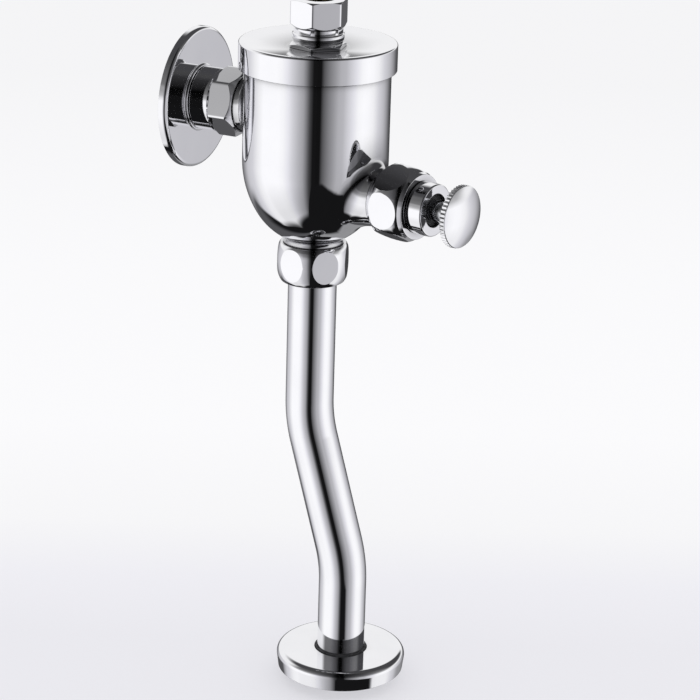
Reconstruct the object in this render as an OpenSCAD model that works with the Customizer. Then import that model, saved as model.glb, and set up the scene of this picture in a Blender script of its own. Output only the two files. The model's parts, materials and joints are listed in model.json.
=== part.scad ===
// Wall-mounted, hand-pushed, self-closing flush valve with an S-bent flush pipe.
// Millimetres, +Z up. The wall is the plane y = 0 and the inlet axis meets it at the origin.
// The valve body stands on a vertical axis in front of the wall, and the button points to -Y.
// Heights are measured from the inlet axis, reaches from the body axis.

/* [Placing] */
// Wall plane to body axis
wall_to_axis = 53.8; // [50:0.1:60]
// Button axis below the inlet axis
button_drop = 27; // [25:0.5:30]
// Turn of the button unit about the body axis, in degrees
button_yaw = -11; // [-20:1:20]

/* [Cap] */
// Overhang of the cap past the straight body wall
cap_overhang = 2.1; // [1.7:0.1:4]
// Height of the cap's rim
cap_top = 28.3; // [27:0.1:32]
// Length of the cap's skirt, rim to lower edge
cap_h = 10.5; // [9.5:0.1:12]
// Wall of the cap's skirt
cap_wall = 3; // [2.6:0.1:3.4]
// Width of the rim round the dished top, its rounding included
cap_rim_w = 1.8; // [1.6:0.1:3]
// Depth of the dish, rim to the regulator's seat
cap_recess = 2; // [1:0.1:2.5]
// Thickness of the cap's plate
cap_plate = 3.5; // [3:0.1:4]
// Rounding of the cap's upper edge
cap_round = 1.3; // [0.5:0.1:1.4]

/* [Body] */
// Outer radius of the straight body wall
body_r = 28.1; // [27.8:0.1:30]
// Wall thickness of the pot
body_wall = 4.1; // [3.5:0.1:4.5]
// Height at which the straight wall turns into the flank arc
flank_z = -17.7; // [-19:0.1:-16.5]
// Radius of the flank arc
flank_r = 40; // [38:0.5:44]
// How much rounder the bottom is than the straight wall
bottom_step = 2.1; // [1.6:0.1:3]
// Top face of the inner partition
partition_z = -13; // [-13.5:0.1:-12.5]
// Thickness of the partition
partition_t = 4; // [3:0.1:4.5]

/* [Regulator on the cap] */
// Width across flats of the regulator housing
bonnet_af = 19.7; // [19:0.1:21]
// Height of the housing over its seat in the cap's dish
bonnet_h = 18.3; // [17:0.1:22]
// Turn of the housing's flats about its axis, in degrees
bonnet_turn = 13.4; // [0:0.1:59]
// Radius of the opening in its top
socket_r = 5.72; // [5.2:0.02:6.2]
// Radius of the regulating screw's stem
screw_r = 3; // [2.6:0.1:3.2]
// Radius of the screw's lower thread
screw_thread_r = 2; // [1.6:0.1:2.2]
// Radius of the plug's shank
plug_r = 4.9; // [4.6:0.1:5.2]
// Radius of the plug's foot
plug_foot_r = 9; // [8:0.1:9.4]
// Travel of the plug
plug_travel = 4; // [3:0.1:4]

/* [Piston unit] */
// Inner radius of the cylinder liner
liner_r = 16.2; // [15.8:0.1:16.6]
// Wall of the liner
liner_wall = 2; // [1.5:0.1:2.4]
// Lower edge of the liner
liner_low_z = 1; // [0:0.1:2]
// Bore radius of the main seat
seat_bore_r = 8; // [7.8:0.1:8.3]
// Lift of the piston
piston_lift = 6; // [5:0.1:6]
// Thickness of the seat washer
washer_t = 2.5; // [2:0.1:3]
// Bore radius of the piston's pilot passage
pilot_r = 4.2; // [4:0.1:4.6]
// Radius of the relief valve's disc
relief_r = 5.6; // [5.4:0.1:6]
// Radius of the relief valve's stem
relief_stem_r = 1.5; // [1.2:0.1:1.6]

/* [Inlet] */
// Radius of the wall pipe and of its thread
nipple_r = 10.48; // [10.3:0.02:10.6]
// Bore radius of the inlet passage
inlet_bore_r = 8; // [7:0.1:8.4]
// Length of the wall pipe behind the wall plane
nipple_in_wall = 9; // [6:0.5:14]
// Radius of the coupling's round skirt
coupling_r = 12.3; // [12.1:0.1:13]
// Width across flats of the coupling
coupling_af = 23.4; // [23:0.1:24]
// Reach of the coupling's front edge
coupling_front = 31; // [30:0.1:31.5]
// Reach of the coupling's wall-side edge
coupling_back = 49; // [48.5:0.1:49]
// Turn of the coupling about its axis, in degrees
coupling_turn = 44; // [0:1:59]
// Radius of the wall escutcheon
escutcheon_r = 27.5; // [26:0.1:32]
// Radius of its raised lip
escutcheon_lip_r = 13; // [12.6:0.1:15]
// Height of the escutcheon's face over the wall
escutcheon_h = 3.5; // [3:0.1:4]

/* [Outlet] */
// Radius of the neck above the outlet nut
neck_r = 11.8; // [11.6:0.1:12.2]
// Upper edge of the outlet nut
nut_top_z = -50.6; // [-51:0.1:-50]
// Height of the outlet nut
nut_h = 15.3; // [14.6:0.1:17]
// Largest radius of the outlet nut
nut_r = 14.3; // [13.9:0.1:14.8]
// Radius of the outlet nut's barrel curve
nut_curve_r = 21.5; // [20.5:0.5:30]
// Width across flats of both union nuts
nut_af = 26.5; // [26:0.1:27]
// Turn of the outlet nut about its axis, in degrees
nut_turn = 18.3; // [0:0.1:59]

/* [Flush pipe] */
// Outer radius of the flush pipe
pipe_r = 9.5; // [9.3:0.05:9.7]
// Wall of the flush pipe
pipe_wall = 1; // [0.8:0.1:1.2]
// Upper corner of the pipe's centre line
bend_z = -123.5; // [-140:0.5:-110]
// Offset between the two upright legs
pipe_offset = 16.8; // [12:0.1:24]
// Slope of the middle leg, in degrees
bend_angle = 16; // [12:0.5:24]
// Bend radius of the centre line
bend_r = 60; // [45:1:70]
// Length of the pipe below the flange's upper face
pipe_past_flange = 13; // [12.2:0.1:30]

/* [Spud flange] */
// Upper face of the flange
flange_top_z = -219.3; // [-221:0.1:-217]
// Height of the flange
flange_h = 8; // [7:0.1:9]
// Largest radius of the flange
flange_r = 25.8; // [25:0.1:29]
// Radius of the flange's lower rim
flange_foot_r = 25.1; // [24:0.1:25.4]
// Rounding between the flange's top and side
flange_round = 2.6; // [2:0.1:3.5]

/* [Button unit] */
// Largest radius of the button nut
button_nut_r = 15; // [14.6:0.1:15.2]
// Radius of the button nut's barrel curve
button_nut_curve_r = 15.5; // [13.5:0.5:17]
// Turn of the button nut about its axis, in degrees
button_nut_turn = 32; // [0:1:59]
// Reach of the button nut's back edge
button_nut_back = 33.2; // [32.8:0.1:33.6]
// Outer radius of the front collar
collar_r = 10; // [9.6:0.1:10.4]
// Reach of the front collar's mouth
collar_front = 57; // [56:0.1:58.5]
// Bore radius of the collar's mouth
mouth_r = 6.35; // [6:0.05:6.6]
// Radius of the push rod where it shows
stem_r = 3.8; // [3.4:0.1:4]
// Radius of the push rod inside the body
rod_r = 2; // [1.6:0.1:2.2]
// Radius of the button
disc_r = 11.9; // [11.5:0.1:13]
// Reach of the button's back face
disc_back = 66.5; // [65:0.1:68]
// Height of the knurled rim
disc_rim = 2.5; // [2:0.1:3.5]
// Radius of the button's dome
dome_r = 28.4; // [26:0.2:36]
// Number of serrations round the rim
serrations = 48; // [36:1:60]

/* [Springs] */
// Wire diameter of the piston spring
piston_wire = 1.4; // [1.2:0.1:1.5]
// Loops of the piston spring
piston_loops = 5; // [4:1:5]
// Mean radius of the piston spring
piston_coil_r = 11; // [10.7:0.1:11.3]
// Wire diameter of the button spring
button_wire = 0.9; // [0.8:0.1:1]
// Loops of the button spring
button_loops = 6; // [5:1:6]
// Mean radius of the button spring
button_coil_r = 4; // [3.8:0.1:4.2]

/* [Fits] */
// Radial play of screwed or slipped joints that do not move
screw_fit = 0.2; // [0.1:0.02:0.24]
// Radial play of running joints
run_fit = 0.05; // [0.03:0.01:0.08]
// Gap between faces that part or meet when something moves
face_gap = 0.1; // [0.08:0.01:0.2]
// Gap between neighbours that turn or slide past each other
free_gap = 0.3; // [0.25:0.05:0.4]

/* [Hidden] */
$fn = 96;
eps = 0.01;
// Step left where two curved faces meet, so that each keeps its own edge
arc_step = 0.06;

// Cap and top of the body
cap_r = body_r + cap_overhang;
cap_floor_z = cap_top - cap_recess;
cap_under_z = cap_floor_z - cap_plate;
cap_skirt_z = cap_top - cap_h;
cap_recess_r = cap_r - cap_rim_w;
cap_seat_r = bonnet_af / 2 / cos(30) + 0.8;
cap_bore_r = cap_r - cap_wall;
seal_t = 1.5;
body_neck_r = cap_bore_r - screw_fit;
body_top_z = cap_under_z - seal_t;
shoulder_z = cap_skirt_z - screw_fit;
seal_w = 5;

// Pot of the body: flank arc and round bottom touch at the joint height
flank_x = body_r - flank_r;
bottom_r = body_r - bottom_step;
bottom_z = flank_z - sqrt(pow(flank_r - bottom_r, 2) - pow(flank_x, 2));
chamber_r = body_r - body_wall;
partition_low_z = partition_z - partition_t;
seat_shank_r = 10.5;

// Liner
liner_flange_t = 2;
liner_flange_r = body_neck_r - 1.7;
liner_flange_z = body_top_z - liner_flange_t;

// Main seat and the stack that rests on it
seat_flange_r = 13;
seat_flange_t = 1.5;
seat_lip_w = 1.7;
seat_lip_h = 2.4;
seat_lip_z = partition_z + seat_flange_t + seat_lip_h;
washer_low_z = seat_lip_z + face_gap;
piston_low_z = washer_low_z + washer_t;
washer_r = 11.5;
piston_foot_r = 12;
piston_floor_h = 6.5;
piston_floor_z = piston_low_z + piston_floor_h;
crown_h = 8.5;
crown_z = piston_low_z + crown_h;
crown_t = 3;
hub_t = 3;
hub_z = crown_z + crown_t;
piston_top_z = hub_z + hub_t;
crown_r = liner_r - 0.4;
cup_w = 3;
hub_r = liner_r - run_fit - cup_w;
recess_r = 7;
cup_t = 2;
cup_lip_h = 4.5;
cup_lip_w = 1;
guide_shank_r = 6.3;
guide_flange_t = 3;
relief_seat_t = 0.9;
relief_seat_r = recess_r - 0.5;
relief_low_z = piston_floor_z + relief_seat_t + face_gap;
relief_t = 2;
button_z = -button_drop;
relief_tip_drop = 6;
relief_tip_z = button_z - relief_tip_drop;
bypass_r = 0.5;

// Regulator on the cap: heights over its seat
hex_flange_h = 1.9;
groove_h = 2.7;
bead_h = 5.7;
grip_h = 7.7;
grip_full_h = 9.4;
bonnet_core_r = bonnet_af / 2 - 0.35;
bead_r = bonnet_af / 2 + 0.25;
bead_round = 3;
top_chamfer = 0.6;
corner_r = bonnet_af / 2 / cos(30);
spigot_r = 8;
bonnet_top_z = cap_floor_z + bonnet_h;
socket_floor_h = 8.7;
socket_z = cap_floor_z + socket_floor_h;
guide_h = 2.7;
guide_top_z = cap_floor_z + guide_h;
screw_bore_r = screw_r + run_fit;
plug_bore_r = plug_r + screw_fit / 2;
plug_flat_deep = 0.7;
plug_flat = plug_r - plug_flat_deep;
plug_bore_flat = plug_flat + screw_fit / 2;
plug_low_z = piston_top_z + piston_lift + free_gap + face_gap;
plug_foot_t = 2;
plug_shank_h = 6.8;
plug_top_z = plug_low_z + plug_foot_t + plug_shank_h;
spigot_low_z = plug_low_z + plug_foot_t + plug_travel + 2 * free_gap;
screw_shoulder_t = 1.5;
screw_shoulder_r = plug_flat;
screw_head_h = 5;
screw_top_z = socket_z + screw_head_h;
slot_w = 1.2;
slot_deep = 1.6;
clip_t = 0.8;
clip_w = 2.2;
clip_groove = 0.6;
oring_deep = 3;
oring_z = socket_z - oring_deep;
oring_w = 1.3;
oring_h = 1.8;
bonnet_seal_r = spigot_r + 0.15;
bonnet_seal_w = 1.5;
bonnet_seal_t = 0.9;

// Inlet
inlet_stub_end = 36.2;
inlet_washer_t = 0.8;
coupling_step = inlet_stub_end + inlet_washer_t;
coupling_bore_r = nipple_r + 0.12;
skirt_start = 41;
hex_start = coupling_front + 2.3;
nipple_seat = 42;
strainer_t = 0.6;
nipple_start = nipple_seat + strainer_t;
basket_r = inlet_bore_r - 0.6;
basket_end = 38;
strainer_hole_r = 0.7;
strainer_pitch = 2.6;
face_reach = wall_to_axis - escutcheon_h;
lip_reach = coupling_back + free_gap;
sheet_t = 0.9;
thread_step = 0.3;

// Outlet
outlet_stub_r = 11;
outlet_stub_h = 6.7;
nut_low_z = nut_top_z - nut_h;
nut_thread_r = outlet_stub_r + 0.1;
nut_lip = 3.4;
nut_low_edge_r = nut_r - 1.9;
nut_top_edge_r = nut_r - 1.5;
neck_low_z = nut_top_z + free_gap;
outlet_stub_z = neck_low_z - outlet_stub_h;
slip_t = 1.5;
pipe_slip_r = pipe_r + 0.08;
pipe_insert = 7;
pipe_top_z = outlet_stub_z + pipe_insert;
pipe_stop_r = pipe_r - 1;

// Flush pipe: the bends' tangent length and the second corner
tangent = bend_r * tan(bend_angle / 2);
bend_2_z = bend_z - pipe_offset / tan(bend_angle);
slope_length = pipe_offset / sin(bend_angle) - 2 * tangent;
pipe_end_h = 5;
pipe_end_step = 0.2;

// Spud flange
flange_low_z = flange_top_z - flange_h;
pipe_low_z = flange_top_z - pipe_past_flange;
flange_crest_z = flange_top_z - flange_round;
flange_hole_r = pipe_r + 0.9;
ring_lip = 0.4;
ring_foot_r = pipe_r + 2.5;
ring_foot_h = 3;

// Button unit: reaches from the body axis
boss_r = 11.2;
boss_front = button_nut_back - free_gap;
boss_flare = 9;
boss_flare_end = boss_front - 1.2;
boss_root_r = 15.5;
boss_sink = 12.1;
boss_root = body_r - boss_sink;
boss_thread_r = 10.5;
boss_end = 39.2;
gasket_t = 0.8;
cartridge_seat = boss_end + gasket_t;
boss_bore_r = 8.5;
spigot_fit = 0.1;
cartridge_start = 27.5;
cartridge_flange_r = 10.4;
cartridge_flange_t = 3.5;
tube_r = 7.9;
tube_end = 53.6;
cavity_r = 6;
cavity_end = 43.8;
seat_clip_at = cartridge_start + 1.2;
seat_clip_t = 1;
seat_clip_groove = 0.5;
seat_clip_r = cavity_r + seat_clip_groove - run_fit;
seat_clip_bore_r = 4.4;
seat_clip_split = 3;
spring_seat_at = seat_clip_at + seat_clip_t;
spring_seat_t = 1.3;
spring_start = spring_seat_at + spring_seat_t;
shoulder_r = 5;
shoulder_t = 1;
shoulder_back = cavity_end - free_gap - shoulder_t;
nut_front = 50;
nut_crease = 48.4;
nut_crease_r = button_nut_r - 2;
nut_front_r = nut_crease_r - 0.6;
nut_back_r = button_nut_r - 3.5;
nut_middle = 41;
collar_back = nut_front + free_gap;
bush_t = 1.8;
stem_seal_at = 48;
stem_seal_t = 1.6;
stem_seal_w = 1.2;
rod_end = relief_stem_r + 0.5;
disc_thread_r = 3;
disc_thread_h = 3;
disc_rim_top = disc_back + disc_rim;
dome_sag = dome_r - sqrt(pow(dome_r, 2) - pow(disc_r, 2));
disc_top = disc_rim_top + dome_sag;
knurl_deep = 0.45;

// Spring coils
ring_sides = 6;
loop_rings = 24;
coil_margin = 0.2;

// Finishes
chrome = [0.82, 0.83, 0.86];
brass = [0.78, 0.62, 0.32];
rubber = [0.09, 0.09, 0.1];
steel = [0.66, 0.67, 0.69];
plastic = [0.86, 0.86, 0.82];

// Upright axis of the body
module on_axis() {
  translate([0, -wall_to_axis, 0]) children();
}

// Inlet axis: local +Z runs from the body axis to the wall
module on_inlet() {
  on_axis() rotate([-90, 0, 0]) children();
}

// Button axis: local +Z runs from the body axis out through the button
module on_button() {
  translate([0, -wall_to_axis, button_z]) rotate([0, 0, button_yaw]) rotate([90, 0, 0]) children();
}

// Lower upright leg of the flush pipe
module on_low_leg() {
  translate([0, -wall_to_axis - pipe_offset, 0]) children();
}

// Solid cylinder between two heights
module rod(r, low, high) {
  translate([0, 0, low]) cylinder(h = high - low, r = r);
}

// Ring between two radii and two heights
module ring(bore, outer, low, high) {
  difference() {
    rod(outer, low, high);
    rod(bore, low - 1, high + 1);
  }
}

// Six-sided prism, by its width across flats
module hex(af, low, high) {
  translate([0, 0, low]) cylinder(h = high - low, r = af / 2 / cos(30), $fn = 6);
}

// Half-plane profile box between two radii and two heights
module band(r_in, r_out, low, high) {
  translate([r_in, low]) square([r_out - r_in, high - low]);
}

// Outline of a barrel nut: a shallow arc with both ends bevelled
module barrel_outline(r, curve_r, middle, low, high, low_r, high_r) {
  slope = 1.3;
  reach = (high - low) / 2.2 / slope;
  intersection() {
    translate([r - curve_r, middle]) circle(curve_r);
    polygon([
      [0, low], [low_r, low], [low_r + reach, low + reach * slope],
      [high_r + reach, high - reach * slope], [high_r, high], [0, high]
    ]);
  }
}

// Outline of the pot, shrunk by a wall thickness and cut off at a height.
// The flank arc and the round bottom meet where their centres' line crosses them.
module pot_outline(wall, top) {
  joint_z = bottom_z + (bottom_z - flank_z) * (bottom_r - wall) / (flank_r - bottom_r);
  band(0, body_r - wall, flank_z, top);
  intersection() {
    translate([flank_x, flank_z]) circle(flank_r - wall);
    band(0, body_r, joint_z, flank_z);
  }
  intersection() {
    translate([0, bottom_z]) circle(bottom_r - wall + arc_step);
    band(0, body_r, bottom_z - bottom_r - 1, joint_z);
  }
}

// Boss of the button unit: it flares into the body on a hollow arc
module button_boss() {
  rotate_extrude() {
    difference() {
      band(0, boss_root_r, boss_root, boss_front);
      translate([boss_r + boss_flare, boss_flare_end]) circle(boss_flare);
      band(boss_r, boss_root_r + 1, boss_flare_end, boss_front + 1);
    }
  }
  rod(boss_thread_r, boss_root, boss_end);
}

// Pot-shaped body with its neck, partition and three bosses
module body_shell() {
  color(chrome)
  difference() {
    union() {
      on_axis() {
        rotate_extrude() {
          pot_outline(0, shoulder_z);
          band(0, body_neck_r, shoulder_z, body_top_z);
        }
        rod(neck_r, neck_low_z, bottom_z - bottom_r / 2);
        rod(outlet_stub_r, outlet_stub_z, neck_low_z);
      }
      on_inlet() rod(nipple_r, chamber_r, inlet_stub_end);
      on_button() button_boss();
    }
    on_axis() {
      rotate_extrude() {
        intersection() {
          pot_outline(body_wall, body_top_z + 1);
          union() {
            band(0, body_r, partition_z, body_top_z + 1);
            band(0, body_r, bottom_z - bottom_r, partition_low_z);
          }
        }
      }
      rod(seat_shank_r + screw_fit / 2, partition_low_z - 1, partition_z + 1);
      rod(liner_flange_r + screw_fit, liner_flange_z, body_top_z + 1);
      rod(pipe_slip_r, outlet_stub_z - 1, pipe_top_z + free_gap);
      rod(pipe_stop_r, pipe_top_z, bottom_z);
    }
    on_inlet() rod(inlet_bore_r, chamber_r - 4, inlet_stub_end + 1);
    on_button() rod(boss_bore_r, boss_root - 2, boss_end + 1);
  }
}

// Cap with a shallow dished top and a rounded upper edge
module cap() {
  color(chrome)
  on_axis() difference() {
    rotate_extrude() {
      band(0, cap_r - cap_round, cap_skirt_z, cap_top);
      band(0, cap_r, cap_skirt_z, cap_top - cap_round);
      translate([cap_r - cap_round, cap_top - cap_round]) circle(cap_round);
    }
    rotate_extrude() polygon([
      [0, cap_floor_z], [cap_seat_r, cap_floor_z], [cap_recess_r, cap_top],
      [cap_recess_r, cap_top + 1], [0, cap_top + 1]
    ]);
    rod(cap_bore_r, cap_skirt_z - 1, cap_under_z);
    rod(spigot_r + run_fit, cap_under_z - 1, cap_floor_z + 1);
  }
}

module cap_seal() {
  color(rubber) on_axis() ring(body_neck_r - seal_w, body_neck_r, body_top_z, cap_under_z);
}

// Upper grip of the regulator housing: a bar with both ends chamfered
module bonnet_grip() {
  intersection() {
    hex(bonnet_af, cap_floor_z + grip_h, bonnet_top_z);
    rotate_extrude() polygon([
      [0, cap_floor_z + grip_h], [bonnet_core_r, cap_floor_z + grip_h],
      [corner_r, cap_floor_z + grip_full_h], [corner_r, bonnet_top_z - top_chamfer],
      [corner_r - 2 * top_chamfer, bonnet_top_z], [0, bonnet_top_z]
    ]);
  }
}

// Foot of the regulator housing: a thin chamfered six-sided flange
module bonnet_flange() {
  intersection() {
    hex(bonnet_af, cap_floor_z, cap_floor_z + hex_flange_h);
    rotate_extrude() polygon([
      [0, cap_floor_z], [corner_r, cap_floor_z], [corner_r, cap_floor_z + hex_flange_h / 2],
      [bonnet_core_r, cap_floor_z + hex_flange_h], [0, cap_floor_z + hex_flange_h]
    ]);
  }
}

// Regulator housing, turned from one bar
module bonnet() {
  bead_middle = cap_floor_z + (groove_h + bead_h) / 2;
  color(chrome)
  on_axis() rotate([0, 0, bonnet_turn]) difference() {
    union() {
      bonnet_flange();
      bonnet_grip();
      rod(bonnet_core_r, cap_floor_z + hex_flange_h / 2, cap_floor_z + grip_h + eps);
      rod(spigot_r, spigot_low_z, cap_floor_z + hex_flange_h);
      rotate_extrude() intersection() {
        translate([bead_r - bead_round, bead_middle]) circle(bead_round);
        band(0, bead_r, cap_floor_z + groove_h, cap_floor_z + bead_h);
      }
    }
    rod(socket_r, socket_z, bonnet_top_z + 1);
    rod(screw_bore_r, guide_top_z - 1, socket_z + 1);
    rod(screw_r + oring_w + screw_fit, oring_z - screw_fit, oring_z + oring_h + screw_fit);
    intersection() {
      rod(plug_bore_r, spigot_low_z - 1, guide_top_z);
      translate([-plug_bore_r - 1, -plug_bore_r - 1, spigot_low_z - 1])
        cube([2 * plug_bore_r + 2, plug_bore_r + 1 + plug_bore_flat, guide_top_z - spigot_low_z + 2]);
    }
    ring(bonnet_seal_r - eps, bonnet_seal_r + bonnet_seal_w + eps,
      cap_floor_z - 1, cap_floor_z + bonnet_seal_t + face_gap);
  }
}

module bonnet_seal() {
  color(rubber) on_axis()
    ring(bonnet_seal_r + run_fit, bonnet_seal_r + bonnet_seal_w - run_fit,
      cap_floor_z, cap_floor_z + bonnet_seal_t);
}

// Slotted screw that raises and lowers the plug
module regulating_screw() {
  shoulder_top = guide_top_z - face_gap;
  color(brass)
  on_axis() difference() {
    union() {
      rod(screw_r, shoulder_top - eps, screw_top_z);
      rod(screw_shoulder_r, shoulder_top - screw_shoulder_t, shoulder_top);
      rod(screw_thread_r, plug_low_z + 2 * free_gap, shoulder_top);
    }
    translate([-slot_w / 2, -screw_r - 1, screw_top_z - slot_deep])
      cube([slot_w, 2 * screw_r + 2, slot_deep + 1]);
    ring(screw_r - clip_groove, screw_r + 1, socket_z + face_gap, socket_z + face_gap + clip_t);
  }
}

// Spring clip in the screw's groove, open on one side
module screw_clip() {
  color(steel)
  on_axis() difference() {
    ring(screw_r - clip_groove + 0.02, screw_r - clip_groove + clip_w,
      socket_z + face_gap, socket_z + face_gap + clip_t);
    translate([0, -screw_r / 3, socket_z]) cube([screw_r * 3, screw_r / 1.5, 2]);
  }
}

module screw_seal() {
  color(rubber) on_axis()
    ring(screw_r + run_fit, screw_r + oring_w + screw_fit, oring_z, oring_z + oring_h);
}

// Keyed plug whose foot stops the piston
module throttle_plug() {
  color(brass)
  on_axis() difference() {
    union() {
      rod(plug_foot_r, plug_low_z, plug_low_z + plug_foot_t);
      rotate([0, 0, bonnet_turn]) intersection() {
        rod(plug_r, plug_low_z, plug_top_z);
        translate([-plug_r - 1, -plug_r - 1, plug_low_z])
          cube([2 * plug_r + 2, plug_r + 1 + plug_flat, plug_top_z - plug_low_z + 1]);
      }
    }
    rod(screw_thread_r + run_fit, plug_low_z - 1, plug_top_z + 1);
  }
}

module cylinder_liner() {
  color(brass)
  on_axis() difference() {
    union() {
      rod(liner_r + liner_wall, liner_low_z, body_top_z);
      rod(liner_flange_r, liner_flange_z, body_top_z);
    }
    rod(liner_r, liner_low_z - 1, body_top_z + 1);
  }
}

module main_seat() {
  color(brass)
  on_axis() difference() {
    union() {
      rod(seat_shank_r, partition_low_z, partition_z + eps);
      rod(seat_flange_r, partition_z, partition_z + seat_flange_t);
      rod(seat_bore_r + seat_lip_w, partition_z, seat_lip_z);
    }
    rod(seat_bore_r, partition_low_z - 1, seat_lip_z + 1);
  }
}

// Stepped piston with its recess, pilot passage and bypass hole
module piston() {
  color(brass)
  on_axis() difference() {
    union() {
      rod(piston_foot_r, piston_low_z, crown_z + eps);
      rod(crown_r, crown_z, hub_z);
      rod(hub_r, crown_z, piston_top_z);
    }
    rod(recess_r, piston_floor_z, piston_top_z + 1);
    rod(pilot_r, piston_low_z - 1, piston_floor_z + 1);
    rod(guide_shank_r + run_fit, piston_low_z - 1, piston_floor_z - 1);
    translate([0, (piston_foot_r + hub_r) / 2, 0]) rod(bypass_r, crown_z - 1, piston_top_z + 1);
  }
}

// Lip seal round the piston's hub
module piston_cup() {
  color(rubber)
  on_axis() difference() {
    rod(liner_r - run_fit, hub_z, hub_z + cup_lip_h);
    rod(hub_r + run_fit, hub_z - 1, hub_z + cup_lip_h + 1);
    rod(liner_r - run_fit - cup_lip_w, hub_z + cup_t, hub_z + cup_lip_h + 1);
  }
}

module seat_washer() {
  color(rubber) on_axis() ring(guide_shank_r + run_fit, washer_r, washer_low_z, piston_low_z);
}

// Retainer that clamps the washer and runs in the seat's bore
module piston_guide() {
  color(brass)
  on_axis() difference() {
    union() {
      rod(guide_shank_r, washer_low_z, piston_floor_z - 1 - face_gap);
      rod(seat_bore_r - free_gap, washer_low_z - guide_flange_t, washer_low_z);
    }
    rod(pilot_r, washer_low_z - guide_flange_t - 1, piston_floor_z);
  }
}

module relief_seat() {
  color(rubber) on_axis() ring(pilot_r, relief_seat_r, piston_floor_z, piston_floor_z + relief_seat_t);
}

// Pilot valve: a disc with a long stem that the push rod tilts
module relief_valve() {
  color(steel)
  on_axis() {
    rod(relief_r, relief_low_z, relief_low_z + relief_t);
    rod(relief_stem_r, relief_tip_z, relief_low_z + eps);
  }
}

// Points of a coil's centre line: one straight wire thickness, the loops, another straight stretch
function coil_line(loops, mean_r, length, wire) =
  let (
    count = loops * loop_rings,
    low = wire / 2 + coil_margin,
    rise = length - 2 * low,
    loop_pts = [for (i = [0:count])
      [mean_r * cos(i * 360 / loop_rings), mean_r * sin(i * 360 / loop_rings), low + rise * i / count]]
  )
  concat([loop_pts[0] - [0, wire, 0]], loop_pts, [loop_pts[count] + [0, wire, 0]]);

// Least gap between turns that lie half a loop or more apart along the line
function coil_gap(line, wire) =
  let (last = len(line) - 1)
  min([for (i = [0:last]) for (j = [i + loop_rings / 2:1:last]) norm(line[i] - line[j])]) - wire;

// Unit vector
function unit(v) = v / norm(v);

// Coil spring as one tube of six sides along its centre line
module coil(loops, mean_r, length, wire) {
  line = coil_line(loops, mean_r, length, wire);
  last = len(line) - 1;
  echo(least_gap_between_turns = coil_gap(line, wire));
  points = [for (i = [0:last])
    let (
      along = unit(line[min(i + 1, last)] - line[max(i - 1, 0)]),
      side = unit(cross(along, [0, 0, 1])),
      up = cross(side, along)
    )
    for (k = [0:ring_sides - 1])
      line[i] + wire / 2 * (side * cos(k * 360 / ring_sides) + up * sin(k * 360 / ring_sides))];
  walls = [for (i = [0:last - 1]) for (k = [0:ring_sides - 1])
    let (a = i * ring_sides + k, b = i * ring_sides + (k + 1) % ring_sides)
    each [[a, b, b + ring_sides], [a, b + ring_sides, a + ring_sides]]];
  first_end = [for (k = [1:ring_sides - 2]) [0, k + 1, k]];
  far = last * ring_sides;
  far_end = [for (k = [1:ring_sides - 2]) [far, far + k, far + k + 1]];
  polyhedron(points = points, faces = concat(walls, first_end, far_end));
}

module piston_spring() {
  color(steel)
  on_axis() translate([0, 0, piston_top_z])
    coil(piston_loops, piston_coil_r, cap_under_z - piston_top_z, piston_wire);
}

// Coupling between body and wall pipe: six-sided in front, round at the wall
module inlet_coupling() {
  hex_corner_r = coupling_af / 2 / cos(30);
  color(chrome)
  on_inlet() difference() {
    union() {
      rod(coupling_r, skirt_start - eps, coupling_back);
      rotate([0, 0, coupling_turn]) intersection() {
        hex(coupling_af, coupling_front, skirt_start);
        rotate_extrude() polygon([
          [0, coupling_front], [coupling_bore_r + 0.6, coupling_front], [hex_corner_r, hex_start],
          [hex_corner_r, skirt_start - 0.5], [hex_corner_r - 0.8, skirt_start], [0, skirt_start]
        ]);
      }
    }
    rod(coupling_bore_r, coupling_front - 1, coupling_step);
    rod(inlet_bore_r, coupling_step - 1, nipple_seat + 1);
    rod(coupling_bore_r, nipple_seat, coupling_back + 1);
  }
}

module inlet_washer() {
  color(rubber) on_inlet() ring(inlet_bore_r, nipple_r, inlet_stub_end, coupling_step);
}

// Perforated cup clamped by its flange
module inlet_strainer() {
  color(steel)
  on_inlet() difference() {
    union() {
      rod(nipple_r, nipple_seat, nipple_start);
      rod(basket_r, basket_end, nipple_start);
    }
    rod(basket_r - strainer_t, basket_end + strainer_t, nipple_start + 1);
    rod(strainer_hole_r, basket_end - 1, basket_end + 1);
    for (row = [1, 2]) for (i = [0:6 * row - 1])
      rotate([0, 0, i * 60 / row]) translate([row * strainer_pitch, 0, 0])
        rod(strainer_hole_r, basket_end - 1, basket_end + 1);
  }
}

// Wall pipe: a thread at each end and a plain stretch behind the escutcheon
module wall_nipple() {
  color(chrome)
  on_inlet() difference() {
    union() {
      rod(nipple_r, nipple_start, coupling_back);
      rod(nipple_r - thread_step, nipple_start, wall_to_axis + eps);
      rod(nipple_r, wall_to_axis, wall_to_axis + nipple_in_wall);
    }
    rod(inlet_bore_r, nipple_start - 1, wall_to_axis + nipple_in_wall + 1);
  }
}

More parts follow.
